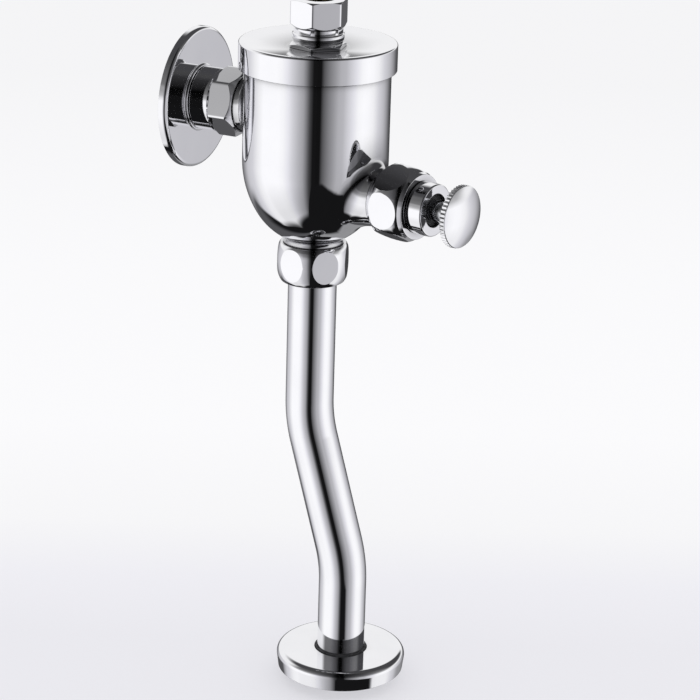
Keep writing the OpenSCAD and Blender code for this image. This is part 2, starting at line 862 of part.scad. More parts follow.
// Pressed wall plate: flat face, rolled edge, raised lip, hollow behind
module wall_escutcheon() {
  edge = escutcheon_h * 0.7;
  color(chrome)
  on_inlet() rotate_extrude() difference() {
    union() {
      band(0, escutcheon_r - edge, face_reach, wall_to_axis);
      band(0, escutcheon_r, face_reach + edge, wall_to_axis);
      intersection() {
        translate([escutcheon_r - edge, face_reach + edge]) circle(edge);
        band(0, escutcheon_r, face_reach, face_reach + edge);
      }
      band(0, escutcheon_lip_r, lip_reach, face_reach + sheet_t / 2);
    }
    band(-1, nipple_r + 0.4, lip_reach - 1, wall_to_axis + 1);
    band(-1, escutcheon_r - edge, face_reach + sheet_t, wall_to_axis + 1);
    band(-1, escutcheon_r - sheet_t, face_reach + edge, wall_to_axis + 1);
    intersection() {
      translate([escutcheon_r - edge, face_reach + edge]) circle(edge - sheet_t);
      band(0, escutcheon_r, face_reach, wall_to_axis);
    }
  }
}

// Union nut under the body: a barrel with six flats
module outlet_nut() {
  color(chrome)
  on_axis() difference() {
    rotate([0, 0, nut_turn]) intersection() {
      rotate_extrude() barrel_outline(nut_r, nut_curve_r, nut_top_z - nut_h * 0.46,
        nut_low_z, nut_top_z, nut_low_edge_r, nut_top_edge_r);
      hex(nut_af, nut_low_z, nut_top_z);
    }
    rod(nut_thread_r, nut_low_z + nut_lip, nut_top_z + 1);
    rod(pipe_slip_r, nut_low_z - 1, nut_top_z);
  }
}

module outlet_seal() {
  color(rubber) on_axis() ring(pipe_slip_r, outlet_stub_r, nut_low_z + nut_lip + slip_t, outlet_stub_z);
}

module slip_ring() {
  color(plastic) on_axis()
    ring(pipe_slip_r, outlet_stub_r, nut_low_z + nut_lip, nut_low_z + nut_lip + slip_t);
}

// Bend of the flush pipe, swept from local +X
module pipe_bend(r) {
  rotate_extrude(angle = bend_angle) translate([bend_r, 0]) circle(r);
}

// Run of the flush pipe: upright leg, bend, sloping leg, bend, upright leg.
// The sloping leg is a hair thinner and reaches into both bends; the ends run past by a length.
module pipe_run(r, past) {
  bend_shift = bend_r * (1 - cos(bend_angle));
  bend_drop = bend_r * sin(bend_angle);
  lap = 1;
  thinner = 0.03;
  on_axis() {
    rod(r, bend_z + tangent, pipe_top_z + past);
    translate([0, -bend_r, bend_z + tangent]) rotate([-90, 0, 90]) pipe_bend(r);
    translate([0, -bend_shift, bend_z + tangent - bend_drop]) rotate([180 - bend_angle, 0, 0])
      rod(r - thinner, -lap, slope_length + lap);
  }
  on_low_leg() {
    translate([0, bend_r, bend_2_z - tangent]) rotate([90, 0, -90]) pipe_bend(r);
    rod(r, pipe_low_z - past, bend_2_z - tangent);
  }
}

// The lower end is sized a little smaller where it enters the spud
module flush_pipe() {
  color(chrome) difference() {
    pipe_run(pipe_r, 0);
    pipe_run(pipe_r - pipe_wall, 1);
    on_low_leg() ring(pipe_r - pipe_end_step, pipe_r + 1, pipe_low_z - 1, pipe_low_z + pipe_end_h);
  }
}

// Half-section of the flange, shrunk by a thickness and run past its foot by a length
module flange_outline(wall, past) {
  slant = (flange_r - flange_foot_r) / (flange_crest_z - flange_low_z);
  band(0, flange_r - flange_round, flange_crest_z, flange_top_z - wall);
  intersection() {
    translate([flange_r - flange_round, flange_crest_z]) circle(flange_round - wall);
    band(0, flange_r, flange_crest_z, flange_top_z);
  }
  polygon([
    [0, flange_low_z - past], [flange_foot_r - slant * past - wall, flange_low_z - past],
    [flange_r - wall, flange_crest_z], [0, flange_crest_z]
  ]);
}

// Pressed flange: flat top, rounded shoulder, side drawn in a little, hollow below
module spud_flange() {
  color(chrome)
  on_low_leg() rotate_extrude() difference() {
    flange_outline(0, 0);
    flange_outline(sheet_t, 1);
    band(-1, flange_hole_r, flange_low_z - 1, flange_top_z + 1);
  }
}

// Rubber ring that grips the pipe in the flange's hole
module spud_ring() {
  color(rubber)
  on_low_leg() difference() {
    union() {
      rod(flange_hole_r - run_fit, flange_top_z - sheet_t - eps, flange_top_z + ring_lip);
      rod(ring_foot_r, flange_top_z - sheet_t - ring_foot_h, flange_top_z - sheet_t);
    }
    rod(pipe_r + run_fit, flange_low_z, flange_top_z + 1);
  }
}

// Union nut of the button unit: a rounder barrel with six flats and a bevelled front
module button_nut() {
  color(chrome)
  on_button() difference() {
    rotate([0, 0, button_nut_turn]) intersection() {
      rotate_extrude() {
        barrel_outline(button_nut_r, button_nut_curve_r, nut_middle,
          button_nut_back, nut_crease, nut_back_r, nut_crease_r);
        polygon([
          [0, nut_crease - eps], [nut_crease_r, nut_crease - eps],
          [nut_front_r, nut_front], [0, nut_front]
        ]);
      }
      hex(nut_af, button_nut_back, nut_front);
    }
    rod(boss_thread_r + 0.1, button_nut_back - 1, cartridge_seat + cartridge_flange_t);
    rod(tube_r + 0.4, button_nut_back, nut_front + 1);
  }
}

// Cartridge that holds the spring and guides the push rod
module button_housing() {
  color(brass)
  on_button() difference() {
    union() {
      rod(boss_bore_r - spigot_fit, cartridge_start, cartridge_seat + eps);
      rod(cartridge_flange_r, cartridge_seat, cartridge_seat + cartridge_flange_t);
      rod(tube_r, cartridge_seat, tube_end);
    }
    rod(cavity_r, cartridge_start - 1, cavity_end);
    rod(cavity_r + seat_clip_groove, seat_clip_at - run_fit, seat_clip_at + seat_clip_t);
    rod(stem_r + run_fit, cavity_end - 1, tube_end + 1);
    rod(stem_r + stem_seal_w + screw_fit, stem_seal_at - screw_fit, stem_seal_at + stem_seal_t + screw_fit);
  }
}

module front_collar() {
  color(chrome)
  on_button() difference() {
    rod(collar_r, collar_back, collar_front);
    rod(tube_r + 0.05, collar_back - 1, tube_end);
    rod(mouth_r, tube_end - 1, collar_front + 1);
  }
}

module guide_bush() {
  color(rubber) on_button()
    ring(stem_r + run_fit, mouth_r - 0.02, tube_end, tube_end + bush_t);
}

module stem_seal() {
  color(rubber) on_button()
    ring(stem_r + run_fit, stem_r + stem_seal_w + screw_fit, stem_seal_at, stem_seal_at + stem_seal_t);
}

module housing_gasket() {
  color(rubber) on_button() ring(boss_bore_r, cartridge_flange_r, boss_end, cartridge_seat);
}

module spring_seat() {
  color(brass) on_button()
    ring(rod_r + run_fit, cavity_r - run_fit, spring_seat_at, spring_start);
}

// Snap ring in the cartridge's groove
module seat_clip() {
  color(steel)
  on_button() difference() {
    ring(seat_clip_bore_r, seat_clip_r, seat_clip_at, seat_clip_at + seat_clip_t);
    translate([0, -seat_clip_split / 2, seat_clip_at - 1])
      cube([cavity_r * 2, seat_clip_split, seat_clip_t + 2]);
  }
}

// Push rod: thin inside, with a shoulder, thick through the seal, threaded into the button
module button_stem() {
  tip_round = 0.8;
  color(steel)
  on_button() {
    rotate_extrude() {
      band(0, rod_r, rod_end + tip_round, shoulder_back + eps);
      band(0, rod_r - tip_round, rod_end, rod_end + tip_round + eps);
      intersection() {
        translate([rod_r - tip_round, rod_end + tip_round]) circle(tip_round);
        band(0, rod_r, rod_end, rod_end + tip_round + eps);
      }
    }
    rod(shoulder_r, shoulder_back, shoulder_back + shoulder_t);
    rod(stem_r, shoulder_back + shoulder_t - eps, disc_back);
    rod(disc_thread_r, disc_back - eps, disc_back + disc_thread_h - face_gap);
  }
}

// Domed button with a straight-knurled rim
module button_disc() {
  color(chrome)
  on_button() difference() {
    rotate_extrude() {
      band(0, disc_r, disc_back, disc_rim_top);
      intersection() {
        translate([0, disc_top - dome_r]) circle(dome_r);
        band(0, disc_r, disc_rim_top - eps, disc_top + 1);
      }
    }
    rod(disc_thread_r + 0.05, disc_back - 1, disc_back + disc_thread_h);
    for (i = [0:serrations - 1])
      rotate([0, 0, i * 360 / serrations]) translate([disc_r, 0, disc_back - 1])
        cylinder(h = disc_rim + 1, r = knurl_deep, $fn = 4);
  }
}

module button_spring() {
  color(steel)
  on_button() translate([0, 0, spring_start])
    coil(button_loops, button_coil_r, shoulder_back - spring_start, button_wire);
}

body_shell();
cap();
cap_seal();
bonnet();
bonnet_seal();
regulating_screw();
screw_clip();
screw_seal();
throttle_plug();
cylinder_liner();
main_seat();
piston();
piston_cup();
seat_washer();
piston_guide();
relief_seat();
relief_valve();
piston_spring();
inlet_coupling();
inlet_washer();
inlet_strainer();
wall_nipple();
wall_escutcheon();
outlet_nut();
outlet_seal();
slip_ring();
flush_pipe();
spud_flange();
spud_ring();
button_nut();
button_housing();
front_collar();
guide_bush();
stem_seal();
housing_gasket();
spring_seat();
seat_clip();
button_stem();
button_disc();
button_spring();
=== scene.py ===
"""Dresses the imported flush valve: smooth outer metalwork, finishes, studio and camera.

Sizes are in mm, unless they go straight into Blender.
"""

import json
import logging
import math
from collections.abc import Callable, Iterable
from dataclasses import dataclass, replace
from enum import Enum

import bmesh
import bpy
from mathutils import Matrix, Vector

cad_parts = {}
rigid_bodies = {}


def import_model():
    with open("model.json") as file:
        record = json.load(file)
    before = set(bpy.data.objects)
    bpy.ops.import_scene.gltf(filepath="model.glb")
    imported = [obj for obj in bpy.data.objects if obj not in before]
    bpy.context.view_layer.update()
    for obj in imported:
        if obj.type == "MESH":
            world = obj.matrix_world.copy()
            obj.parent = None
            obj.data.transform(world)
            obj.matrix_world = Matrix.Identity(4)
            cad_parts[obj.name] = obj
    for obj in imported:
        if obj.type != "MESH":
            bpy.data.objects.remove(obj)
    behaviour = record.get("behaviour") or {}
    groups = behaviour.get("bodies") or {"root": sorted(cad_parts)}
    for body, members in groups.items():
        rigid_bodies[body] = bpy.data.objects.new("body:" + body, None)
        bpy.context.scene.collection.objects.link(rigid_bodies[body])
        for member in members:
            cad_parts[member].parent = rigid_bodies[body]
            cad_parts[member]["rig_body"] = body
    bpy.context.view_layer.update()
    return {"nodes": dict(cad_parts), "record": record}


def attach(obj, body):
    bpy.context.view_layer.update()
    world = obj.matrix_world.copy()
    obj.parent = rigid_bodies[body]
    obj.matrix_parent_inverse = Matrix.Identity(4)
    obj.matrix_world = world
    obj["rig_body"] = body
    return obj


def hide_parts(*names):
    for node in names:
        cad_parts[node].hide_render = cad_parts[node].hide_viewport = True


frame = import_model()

log = logging.getLogger("flush_valve")

MM = 0.001
BODY_AXIS_Y = -53.8
BUTTON_AXIS_Z = -27.0
BUTTON_YAW = -11.0
CAP_FLOOR_Z = 26.3
PIPE_HOLE_R = 9.58
PIPE_LOW_Z = -232.3

Colour = tuple[float, float, float]
Spot = tuple[float, float, float]
Corner = tuple[float, float, float]
Point = tuple[float, float]


# Shader tools


class Wire:
    """A shader socket that adds Math nodes through Python's own operators."""

    def __init__(self, graph: "Graph", socket: bpy.types.NodeSocket) -> None:
        """Keeps the socket and the graph it belongs to."""
        self.graph = graph
        self.socket = socket

    def _math(self, operation: str, first: "Wire | float", second: "Wire | float") -> "Wire":
        """Adds one Math node.

        Args:
            operation: Blender's name of the operation.
            first: left value.
            second: right value.

        Returns:
            The node's result.
        """
        return self.graph.node("ShaderNodeMath", {"operation": operation}, {0: first, 1: second})

    def __add__(self, other: "Wire | float") -> "Wire":
        """Sum."""
        return self._math("ADD", self, other)

    def __radd__(self, other: float) -> "Wire":
        """Sum with a number on the left."""
        return self._math("ADD", other, self)

    def __sub__(self, other: "Wire | float") -> "Wire":
        """Difference."""
        return self._math("SUBTRACT", self, other)

    def __rsub__(self, other: float) -> "Wire":
        """Difference from a number."""
        return self._math("SUBTRACT", other, self)

    def __mul__(self, other: "Wire | float") -> "Wire":
        """Product."""
        return self._math("MULTIPLY", self, other)

    def __rmul__(self, other: float) -> "Wire":
        """Product with a number on the left."""
        return self._math("MULTIPLY", other, self)


class Graph:
    """Node tree of a material or of the world."""

    def __init__(self, tree: bpy.types.NodeTree) -> None:
        """Starts with an empty tree."""
        self.tree = tree
        tree.nodes.clear()

    def node(
        self,
        kind: str,
        settings: dict[str, object] | None = None,
        inputs: dict[int | str, object] | None = None,
        output: int | str = 0,
    ) -> Wire:
        """Adds a node of any type.

        Args:
            kind: the node's type.
            settings: its properties, set first; "stops" fills a colour ramp.
            inputs: values or wires for its sockets.
            output: the socket that is returned.

        Returns:
            The chosen output.
        """
        made = self.tree.nodes.new(kind)
        for name, value in (settings or {}).items():
            if name == "stops":
                self._fill_ramp(made.color_ramp, value)
            else:
                setattr(made, name, value)
        for key, value in (inputs or {}).items():
            if isinstance(value, Wire):
                self.tree.links.new(value.socket, made.inputs[key])
            else:
                made.inputs[key].default_value = value
        return Wire(self, made.outputs[output] if made.outputs else made.inputs[0])

    @staticmethod
    def _fill_ramp(ramp: bpy.types.ColorRamp, stops: list[tuple[float, Colour]]) -> None:
        """Puts the stops on a colour ramp.

        Args:
            ramp: the ramp.
            stops: place and colour of each stop.
        """
        while len(ramp.elements) < len(stops):
            ramp.elements.new(1.0)
        for element, (place, colour) in zip(ramp.elements, stops):
            element.position = place
            element.color = opaque(colour)

    def mix(self, factor: Wire | float, first: object, second: object, blend: str = "MIX") -> Wire:
        """Mixes two colours.

        Args:
            factor: share of the second.
            first: colour at 0.
            second: colour at 1.
            blend: Blender's name of the blend.

        Returns:
            The mixed colour.
        """
        return self.node(
            "ShaderNodeMix",
            {"data_type": "RGBA", "blend_type": blend},
            {0: factor, 6: first, 7: second},
            2,
        )

    def noise(self, scale: float, detail: float = 3.0, stretch: Vector | None = None) -> Wire:
        """Noise in the part's own coordinates, in cycles per metre.

        Args:
            scale: cycles per metre.
            detail: octaves.
            stretch: factor per axis, for drawn or turned marks.

        Returns:
            The noise value, 0 to 1.
        """
        place = self.node("ShaderNodeTexCoord", output="Object")
        if stretch is not None:
            place = self.node("ShaderNodeMapping", {}, {"Vector": place, "Scale": stretch})
        return self.node(
            "ShaderNodeTexNoise", {}, {"Vector": place, "Scale": scale, "Detail": detail}, "Fac"
        )

    def spread(self, value: Wire, low: float, high: float, span: Point = (0.3, 0.7)) -> Wire:
        """Maps part of a value's range, such as a noise's middle, to another range.

        Args:
            value: value from 0 to 1.
            low: result at the start of that part.
            high: result at its end.
            span: start and end of that part.

        Returns:
            The mapped value.
        """
        start, end = span
        return self.node(
            "ShaderNodeMapRange",
            {},
            {"Value": value, "From Min": start, "From Max": end, "To Min": low, "To Max": high},
        )

    def step(self, value: Wire, span: Point) -> Wire:
        """Changes smoothly from 0 to 1.

        Args:
            value: what the change follows.
            span: values at which it starts and ends.

        Returns:
            The share, 0 to 1.
        """
        return self.node(
            "ShaderNodeMapRange",
            {"interpolation_type": "SMOOTHSTEP"},
            {"Value": value, "From Min": span[0], "From Max": span[1]},
        )

    def along(self, place: Wire, direction: Vector) -> Wire:
        """Measures a place or direction along another direction.

        Args:
            place: place or direction to measure.
            direction: unit vector.

        Returns:
            The dot product.
        """
        return self.node(
            "ShaderNodeVectorMath", {"operation": "DOT_PRODUCT"}, {0: place, 1: direction}, "Value"
        )


def opaque(colour: Colour) -> tuple[float, float, float, float]:
    """A colour as a socket takes it, with full alpha."""
    return (*colour, 1.0)


class Slot(Enum):
    """Material slots of the part's record."""

    CHROME = "chrome_plate"
    BRASS = "brass_plain"
    RUBBER = "rubber_black"
    STEEL = "steel_plain"
    PLASTIC = "plastic_white"


@dataclass(frozen=True)
class Finish:
    """A surface finish with marks that vary over it, and painted shade that darkens its colour in
    corners, creases and where pieces meet.
    """

    name: str
    light: Colour
    dark: Colour
    metallic: float
    rough_low: float
    rough_high: float
    mark_scale: float
    bump_scale: float
    bump_depth: float
    stretch: Spot = (1.0, 1.0, 1.0)
    mark_detail: float = 4.0
    bump_detail: float = 2.0
    mark_share: float = 0.6
    # painted shade: ambient occlusion darkens the colour in hollows down to this share at full cover; 1
    # paints none
    painted_shade_darkest: float = 1.0
    painted_shade_reach: float = 9.0
    painted_shade_span: Point = (0.25, 0.8)
    painted_shade_samples: int = 16

    def material(self) -> bpy.types.Material:
        """Builds the material once and hands it out again.

        Returns:
            The Blender material.
        """
        known = bpy.data.materials.get(self.name)
        if known:
            return known
        made = bpy.data.materials.new(self.name)
        made.use_nodes = True
        graph = Graph(made.node_tree)
        marks = graph.noise(self.mark_scale, self.mark_detail)
        fine = graph.noise(self.bump_scale, self.bump_detail, Vector(self.stretch))
        blend = graph.spread(marks, 0.0, 1.0)
        colour = graph.mix(blend, opaque(self.dark), opaque(self.light))
        # Painted shade: the colour is darkened where ambient occlusion finds nearby surfaces, in
        # corners, creases and where pieces meet
        if self.painted_shade_darkest < 1:
            open_share = graph.node(
                "ShaderNodeAmbientOcclusion",
                {"samples": self.painted_shade_samples},
                {"Distance": self.painted_shade_reach * MM},
                "AO",
            )
            painted_corner_shade = graph.spread(open_share, self.painted_shade_darkest, 1.0, self.painted_shade_span)
            colour = graph.mix(1.0, colour, painted_corner_shade, "MULTIPLY")
        worn = self.mark_share * marks + (1 - self.mark_share) * fine
        rough = graph.spread(worn, self.rough_high, self.rough_low)
        bump = graph.node(
            "ShaderNodeBump",
            {},
            {"Strength": 1.0, "Distance": self.bump_depth * MM, "Height": fine},
        )
        shader = graph.node(
            "ShaderNodeBsdfPrincipled",
            {},
            {
                "Base Color": colour,
                "Metallic": self.metallic,
                "Roughness": rough,
                "Normal": bump,
            },
        )
        graph.node("ShaderNodeOutputMaterial", {}, {"Surface": shader})
        return made


# Chrome whose colour carries painted shade in corners, creases and where pieces meet
CHROME = Finish(
    name="polished_chrome_painted_shade",
    light=(0.93, 0.93, 0.945),
    dark=(0.905, 0.905, 0.925),
    metallic=1.0,
    rough_low=0.02,
    rough_high=0.05,
    mark_scale=90,
    bump_scale=900,
    bump_depth=0.0006,
    painted_shade_darkest=0.3,
)
# Copies of the chrome that differ only in painted shade: deeper and wider on the pot, none on the
# coupling and wall plate, fainter on the outlet
POT_CHROME = replace(
    CHROME, name="pot_chrome_deep_painted_shade", painted_shade_darkest=0.22, painted_shade_reach=16.0, painted_shade_span=(0.42, 0.95)
)
PLATE_CHROME = replace(CHROME, name="plate_chrome", painted_shade_darkest=1.0)
PIPE_CHROME = replace(CHROME, name="pipe_chrome_faint_painted_shade", painted_shade_darkest=0.75)
BRASS = Finish(
    name="machined_brass",
    light=(0.80, 0.62, 0.30),
    dark=(0.68, 0.50, 0.23),
    metallic=1.0,
    rough_low=0.2,
    rough_high=0.34,
    mark_scale=160,
    bump_scale=900,
    bump_depth=0.02,
    stretch=(1.0, 1.0, 6.0),
)
RUBBER = Finish(
    name="moulded_rubber",
    light=(0.045, 0.045, 0.05),
    dark=(0.022, 0.022, 0.025),
    metallic=0.0,
    rough_low=0.5,
    rough_high=0.72,
    mark_scale=300,
    bump_scale=1500,
    bump_depth=0.02,
)
STEEL = Finish(
    name="drawn_steel",
    light=(0.74, 0.75, 0.77),
    dark=(0.60, 0.61, 0.64),
    metallic=1.0,
    rough_low=0.12,
    rough_high=0.26,
    mark_scale=200,
    bump_scale=1200,
    bump_depth=0.01,
    stretch=(1.0, 1.0, 5.0),
)
PLASTIC = Finish(
    name="moulded_plastic",
    light=(0.84, 0.84, 0.80),
    dark=(0.76, 0.76, 0.72),
    metallic=0.0,
    rough_low=0.35,
    rough_high=0.5,
    mark_scale=220,
    bump_scale=1400,
    bump_depth=0.015,
)
FINISHES = {
    Slot.CHROME: CHROME,
    Slot.BRASS: BRASS,
    Slot.RUBBER: RUBBER,
    Slot.STEEL: STEEL,
    Slot.PLASTIC: PLASTIC,
}


# Mesh tools


EDGE_SHARE = 0.47
STRAIGHT_HALF_ANGLE = math.radians(89)
SMALLEST = 1e-6


def rounded(corners: list[Corner], closed: bool, steps: int = 5) -> list[Point]:
    """Rounds the corners of a half-section.

    Args:
        corners: radius, height and rounding of each corner, in mm.
        closed: whether the last corner joins the first.
        steps: points that an arc adds.

    Returns:
        The section's points.
    """
    points: list[Point] = []
    count = len(corners)
    for i, (r, z, radius) in enumerate(corners):
        if radius <= 0 or (not closed and i in (0, count - 1)):
            points.append((r, z))
            continue
        here = Vector((r, z))
        back = Vector(corners[i - 1][:2]) - here
        ahead = Vector(corners[(i + 1) % count][:2]) - here
        half = back.angle(ahead, math.pi) / 2
        room = EDGE_SHARE * min(back.length, ahead.length)
        reach = min(radius / max(math.tan(half), SMALLEST), room)
        start = back.normalized() * reach
        end = ahead.normalized() * reach
        if half > STRAIGHT_HALF_ANGLE:
            for k in range(steps + 1):
                place = here + start.lerp(end, k / steps)
                points.append((place.x, place.y))
            continue
        centre = (start + end).normalized() * (reach / math.cos(half))
        sweep = math.pi - 2 * half
        for k in range(steps + 1):
            share = k / steps
            spoke = (start - centre) * math.sin((1 - share) * sweep) + (end - centre) * math.sin(
                share * sweep
            )
            place = here + centre + spoke / math.sin(sweep)
            points.append((place.x, place.y))
    return points


def arc(centre: Point, radius: float, start: float, end: float, count: int) -> list[Corner]:
    """Points of a circle's arc, as corners with no rounding.

    Args:
        centre: radius and height of its centre.
        radius: the arc's radius.
        start: first angle, in degrees from outward.
        end: last angle.
        count: number of points.

    Returns:
        The corners.
    """
    turns = [math.radians(start + (end - start) * k / (count - 1)) for k in range(count)]
    return [(centre[0] + radius * math.cos(a), centre[1] + radius * math.sin(a), 0) for a in turns]


def make_mesh(name: str, places: list[Vector], faces: list[tuple[int, ...]]) -> bpy.types.Object:
    """Makes one closed, smooth mesh object.

    Args:
        name: the piece's name.
        places: vertices in metres.
        faces: vertex numbers of each face.

    Returns:
        The object, linked to the scene.
    """
    mesh = bpy.data.meshes.new(name)
    mesh.from_pydata([tuple(p) for p in places], [], faces)
    work = bmesh.new()
    work.from_mesh(mesh)
    bmesh.ops.recalc_face_normals(work, faces=work.faces)
    for face in work.faces:
        face.smooth = True
    work.to_mesh(mesh)
    work.free()
    made = bpy.data.objects.new(name, mesh)
    bpy.context.scene.collection.objects.link(made)
    weigh = made.modifiers.new("face_weights", "WEIGHTED_NORMAL")
    weigh.mode = "FACE_AREA"
    return made


def spin(
    name: str,
    place: Matrix,
    turns: list[float],
    section: Callable[[float], list[Point]],
    closed: bool = True,
) -> bpy.types.Object:
    """Turns a section about an axis; the section may change with the angle.

    Args:
        name: the piece's name.
        place: puts local +Z on the axis, in mm.
        turns: angles of the columns, in degrees.
        section: gives the column's points at an angle, always as many.
        closed: whether the section is a ring; otherwise both ends lie on the axis.

    Returns:
        The mesh object.
    """
    columns = [section(a) for a in turns]
    rows = len(columns[0])
    span = range(rows) if closed else range(1, rows - 1)
    places: list[Vector] = []
    for angle, column in zip(turns, columns):
        cosine, sine = math.cos(math.radians(angle)), math.sin(math.radians(angle))
        for i in span:
            r, z = column[i]
            places.append(place @ Vector((r * cosine, r * sine, z)) * MM)
    tall = len(span)
    count = len(turns)
    faces: list[tuple[int, ...]] = []
    for j in range(count):
        k = (j + 1) % count
        for i in range(tall if closed else tall - 1):
            n = (i + 1) % tall
            faces.append((j * tall + i, k * tall + i, k * tall + n, j * tall + n))
    if not closed:
        for row, i in ((0, 0), (rows - 1, tall - 1)):
            places.append(place @ Vector((0, 0, columns[0][row][1])) * MM)
            tip = len(places) - 1
            for j in range(count):
                faces.append((tip, j * tall + i, ((j + 1) % count) * tall + i))
    return make_mesh(name, places, faces)


def even_turns(count: int, start: float = 0.0) -> list[float]:
    """Evenly spaced column angles, in degrees from the first."""
    return [start + 360 * k / count for k in range(count)]


def turned(
    name: str, place: Matrix, count: int, corners: list[Corner], steps: int = 5
) -> bpy.types.Object:
    """Turns one closed, rounded outline evenly about an axis.

    Args:
        name: the piece's name.
        place: puts local +Z on the axis, in mm.
        count: number of columns.
        corners: radius, height and rounding of each corner.
        steps: points that a rounding adds.

    Returns:
        The mesh object.
    """
    points = rounded(corners, closed=True, steps=steps)
    return spin(name, place, even_turns(count), lambda _: points)


HALVINGS = 40


def last_held(start: float, end: float, holds: Callable[[float], bool]) -> float:
    """Finds how far a condition holds between two values.

    Args:
        start: value at which it holds.
        end: value at which it no longer holds.
        holds: the condition.

    Returns:
        The last value found at which it holds.
    """
    for _ in range(HALVINGS):
        half = (start + end) / 2
        if holds(half):
            start = half
        else:
            end = half
    return start


def soft_min(first: float, second: float, blend: float) -> float:
    """The smaller of two values, with a rounded change-over."""
    overlap = max(blend - abs(first - second), 0.0) / blend
    return min(first, second) - overlap * overlap * blend / 4


# Columns from the middle of a flat to its edge, in degrees
HALF_FLAT_ANGLES = (0.0, 5.0, 10.0, 14.5, 18.5, 22.0, 24.5, 26.3, 27.6, 28.5, 29.2)


@dataclass(frozen=True)
class Hexagon:
    """Six flats round an axis."""

    across: float
    turn: float
    edge: float = 0.12

    def off_flat(self, angle: float) -> float:
        """Angle from the middle of the nearest flat, in degrees."""
        return (angle - self.turn + 30) % 60 - 30

    def corner_r(self) -> float:
        """Distance from the axis to a sharp corner."""
        return self.across / 2 / math.cos(math.radians(30))

    def reach(self, angle: float) -> float:
        """Distance from the axis to the flats.

        Args:
            angle: column angle in degrees.

        Returns:
            The distance in mm, with the upright edges a little rounded.
        """
        plain = self.across / 2 / math.cos(math.radians(self.off_flat(angle)))
        return soft_min(plain, self.corner_r() - self.edge, 2 * self.edge)

    def share(self, angle: float, core_r: float) -> float:
        """How far the outline has come from a core, 0, to a sharp corner, 1."""
        return (self.reach(angle) - core_r) / (self.corner_r() - core_r)

    def turns(self) -> list[float]:
        """Column angles that crowd towards the upright edges."""
        steps = [-a for a in HALF_FLAT_ANGLES[:0:-1]] + list(HALF_FLAT_ANGLES) + [30.0]
        return [self.turn + 60 * k + a for k in range(6) for a in steps]


@dataclass(frozen=True)
class Barrel:
    """A barrel-shaped union nut with six flats."""

    radius: float
    curve: float
    middle: float
    low: float
    high: float
    low_r: float
    high_r: float
    flats: Hexagon
    bevel_slope: float = 1.3
    blend: float = 0.5
    rows: int = 9
    crease: float = 0.35
    least_half: float = 0.3

    def outline(self, z: float) -> float:
        """Radius of the turned outline at a height.

        Args:
            z: height on the nut's axis.

        Returns:
            The radius in mm.
        """
        bulge = self.radius - self.curve + math.sqrt(self.curve**2 - (z - self.middle) ** 2)
        low = self.low_r + (z - self.low) / self.bevel_slope
        high = self.high_r + (self.high - z) / self.bevel_slope
        return soft_min(soft_min(bulge, low, self.blend), high, self.blend)

    def flat_span(self, angle: float) -> Point:
        """Heights between which the flat cuts the barrel in one column.

        Args:
            angle: column angle in degrees.

        Returns:
            Lower and upper height.
        """
        limit = self.flats.reach(angle)
        ends = []
        for sign, end in ((-1, self.low), (1, self.high)):
            near = self.middle + sign * self.least_half
            if self.outline(near) > limit:
                near = last_held(near, end, lambda z: self.outline(z) > limit)
            ends.append(near)
        return ends[0], ends[1]

    def column(self, angle: float) -> list[Corner]:
        """Outer corners of one column, from the low end to the high end.

        Args:
            angle: column angle in degrees.

        Returns:
            The corners.
        """
        first, last = self.flat_span(angle)
        limit = self.flats.reach(angle)
        heights: list[Point] = []
        for k in range(self.rows):
            share = (1 - math.cos(math.pi * k / self.rows)) / 2
            heights.append((self.low + (first - self.low) * share, 0))
        heights.append((first, self.crease))
        heights.append(((first + last) / 2, 0))
        heights.append((last, self.crease))
        for k in range(1, self.rows + 1):
            share = (1 - math.cos(math.pi * k / self.rows)) / 2
            heights.append((last + (self.high - last) * share, 0))
        return [(min(self.outline(z), limit), z, edge) for z, edge in heights]


def axis_place(y: float) -> Matrix:
    """Local +Z upright, at a distance from the wall."""
    return Matrix.Translation((0, y, 0))


def inlet_place() -> Matrix:
    """Local +Z from the body axis to the wall."""
    return axis_place(BODY_AXIS_Y) @ Matrix.Rotation(math.radians(-90), 4, "X")


def button_place() -> Matrix:
    """Local +Z from the body axis out through the button."""
    return (
        Matrix.Translation((0, BODY_AXIS_Y, BUTTON_AXIS_Z))
        @ Matrix.Rotation(math.radians(BUTTON_YAW), 4, "Z")
        @ Matrix.Rotation(math.radians(90), 4, "X")
    )


# Sub-assemblies


@dataclass
class Dresser:
    """Puts pieces on their bodies, in place of CAD nodes."""

    finish: Finish = CHROME
    slot: Slot = Slot.CHROME

    def dress(self, piece: bpy.types.Object, node: str) -> bpy.types.Object:
        """Gives a piece its finish and body, and hides the CAD node that it stands for.

        Args:
            piece: the mesh object.
            node: CAD node it replaces.

        Returns:
            The same object.
        """
        piece.data.materials.append(self.finish.material())
        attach(piece, frame["nodes"][node]["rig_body"])
        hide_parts(node)
        log.info("%s: %d faces, stands for %s", piece.name, len(piece.data.polygons), node)
        return piece


@dataclass(frozen=True)
class Boss:
    """A side boss of the body; its reaches count from the body's axis."""

    radius: float
    flare_end: float
    front: float
    nose_r: float
    end: float
    bore_r: float
    nose_slant: float = 0.02
    back_drop: float = 2.0
    back_step: float = 0.4


# How a boss's hollow root is fitted to the pot's face, and how it runs on just under it
FACE_START = 0.6
FACE_STEP = 0.06
FACE_COUNT = 400
WIDEST_FLARE = 40.0
FLARE_POINTS = 15
RUN_OUT = ((1.8, 0.16), (1.2, 0.07), (0.6, 0.02))


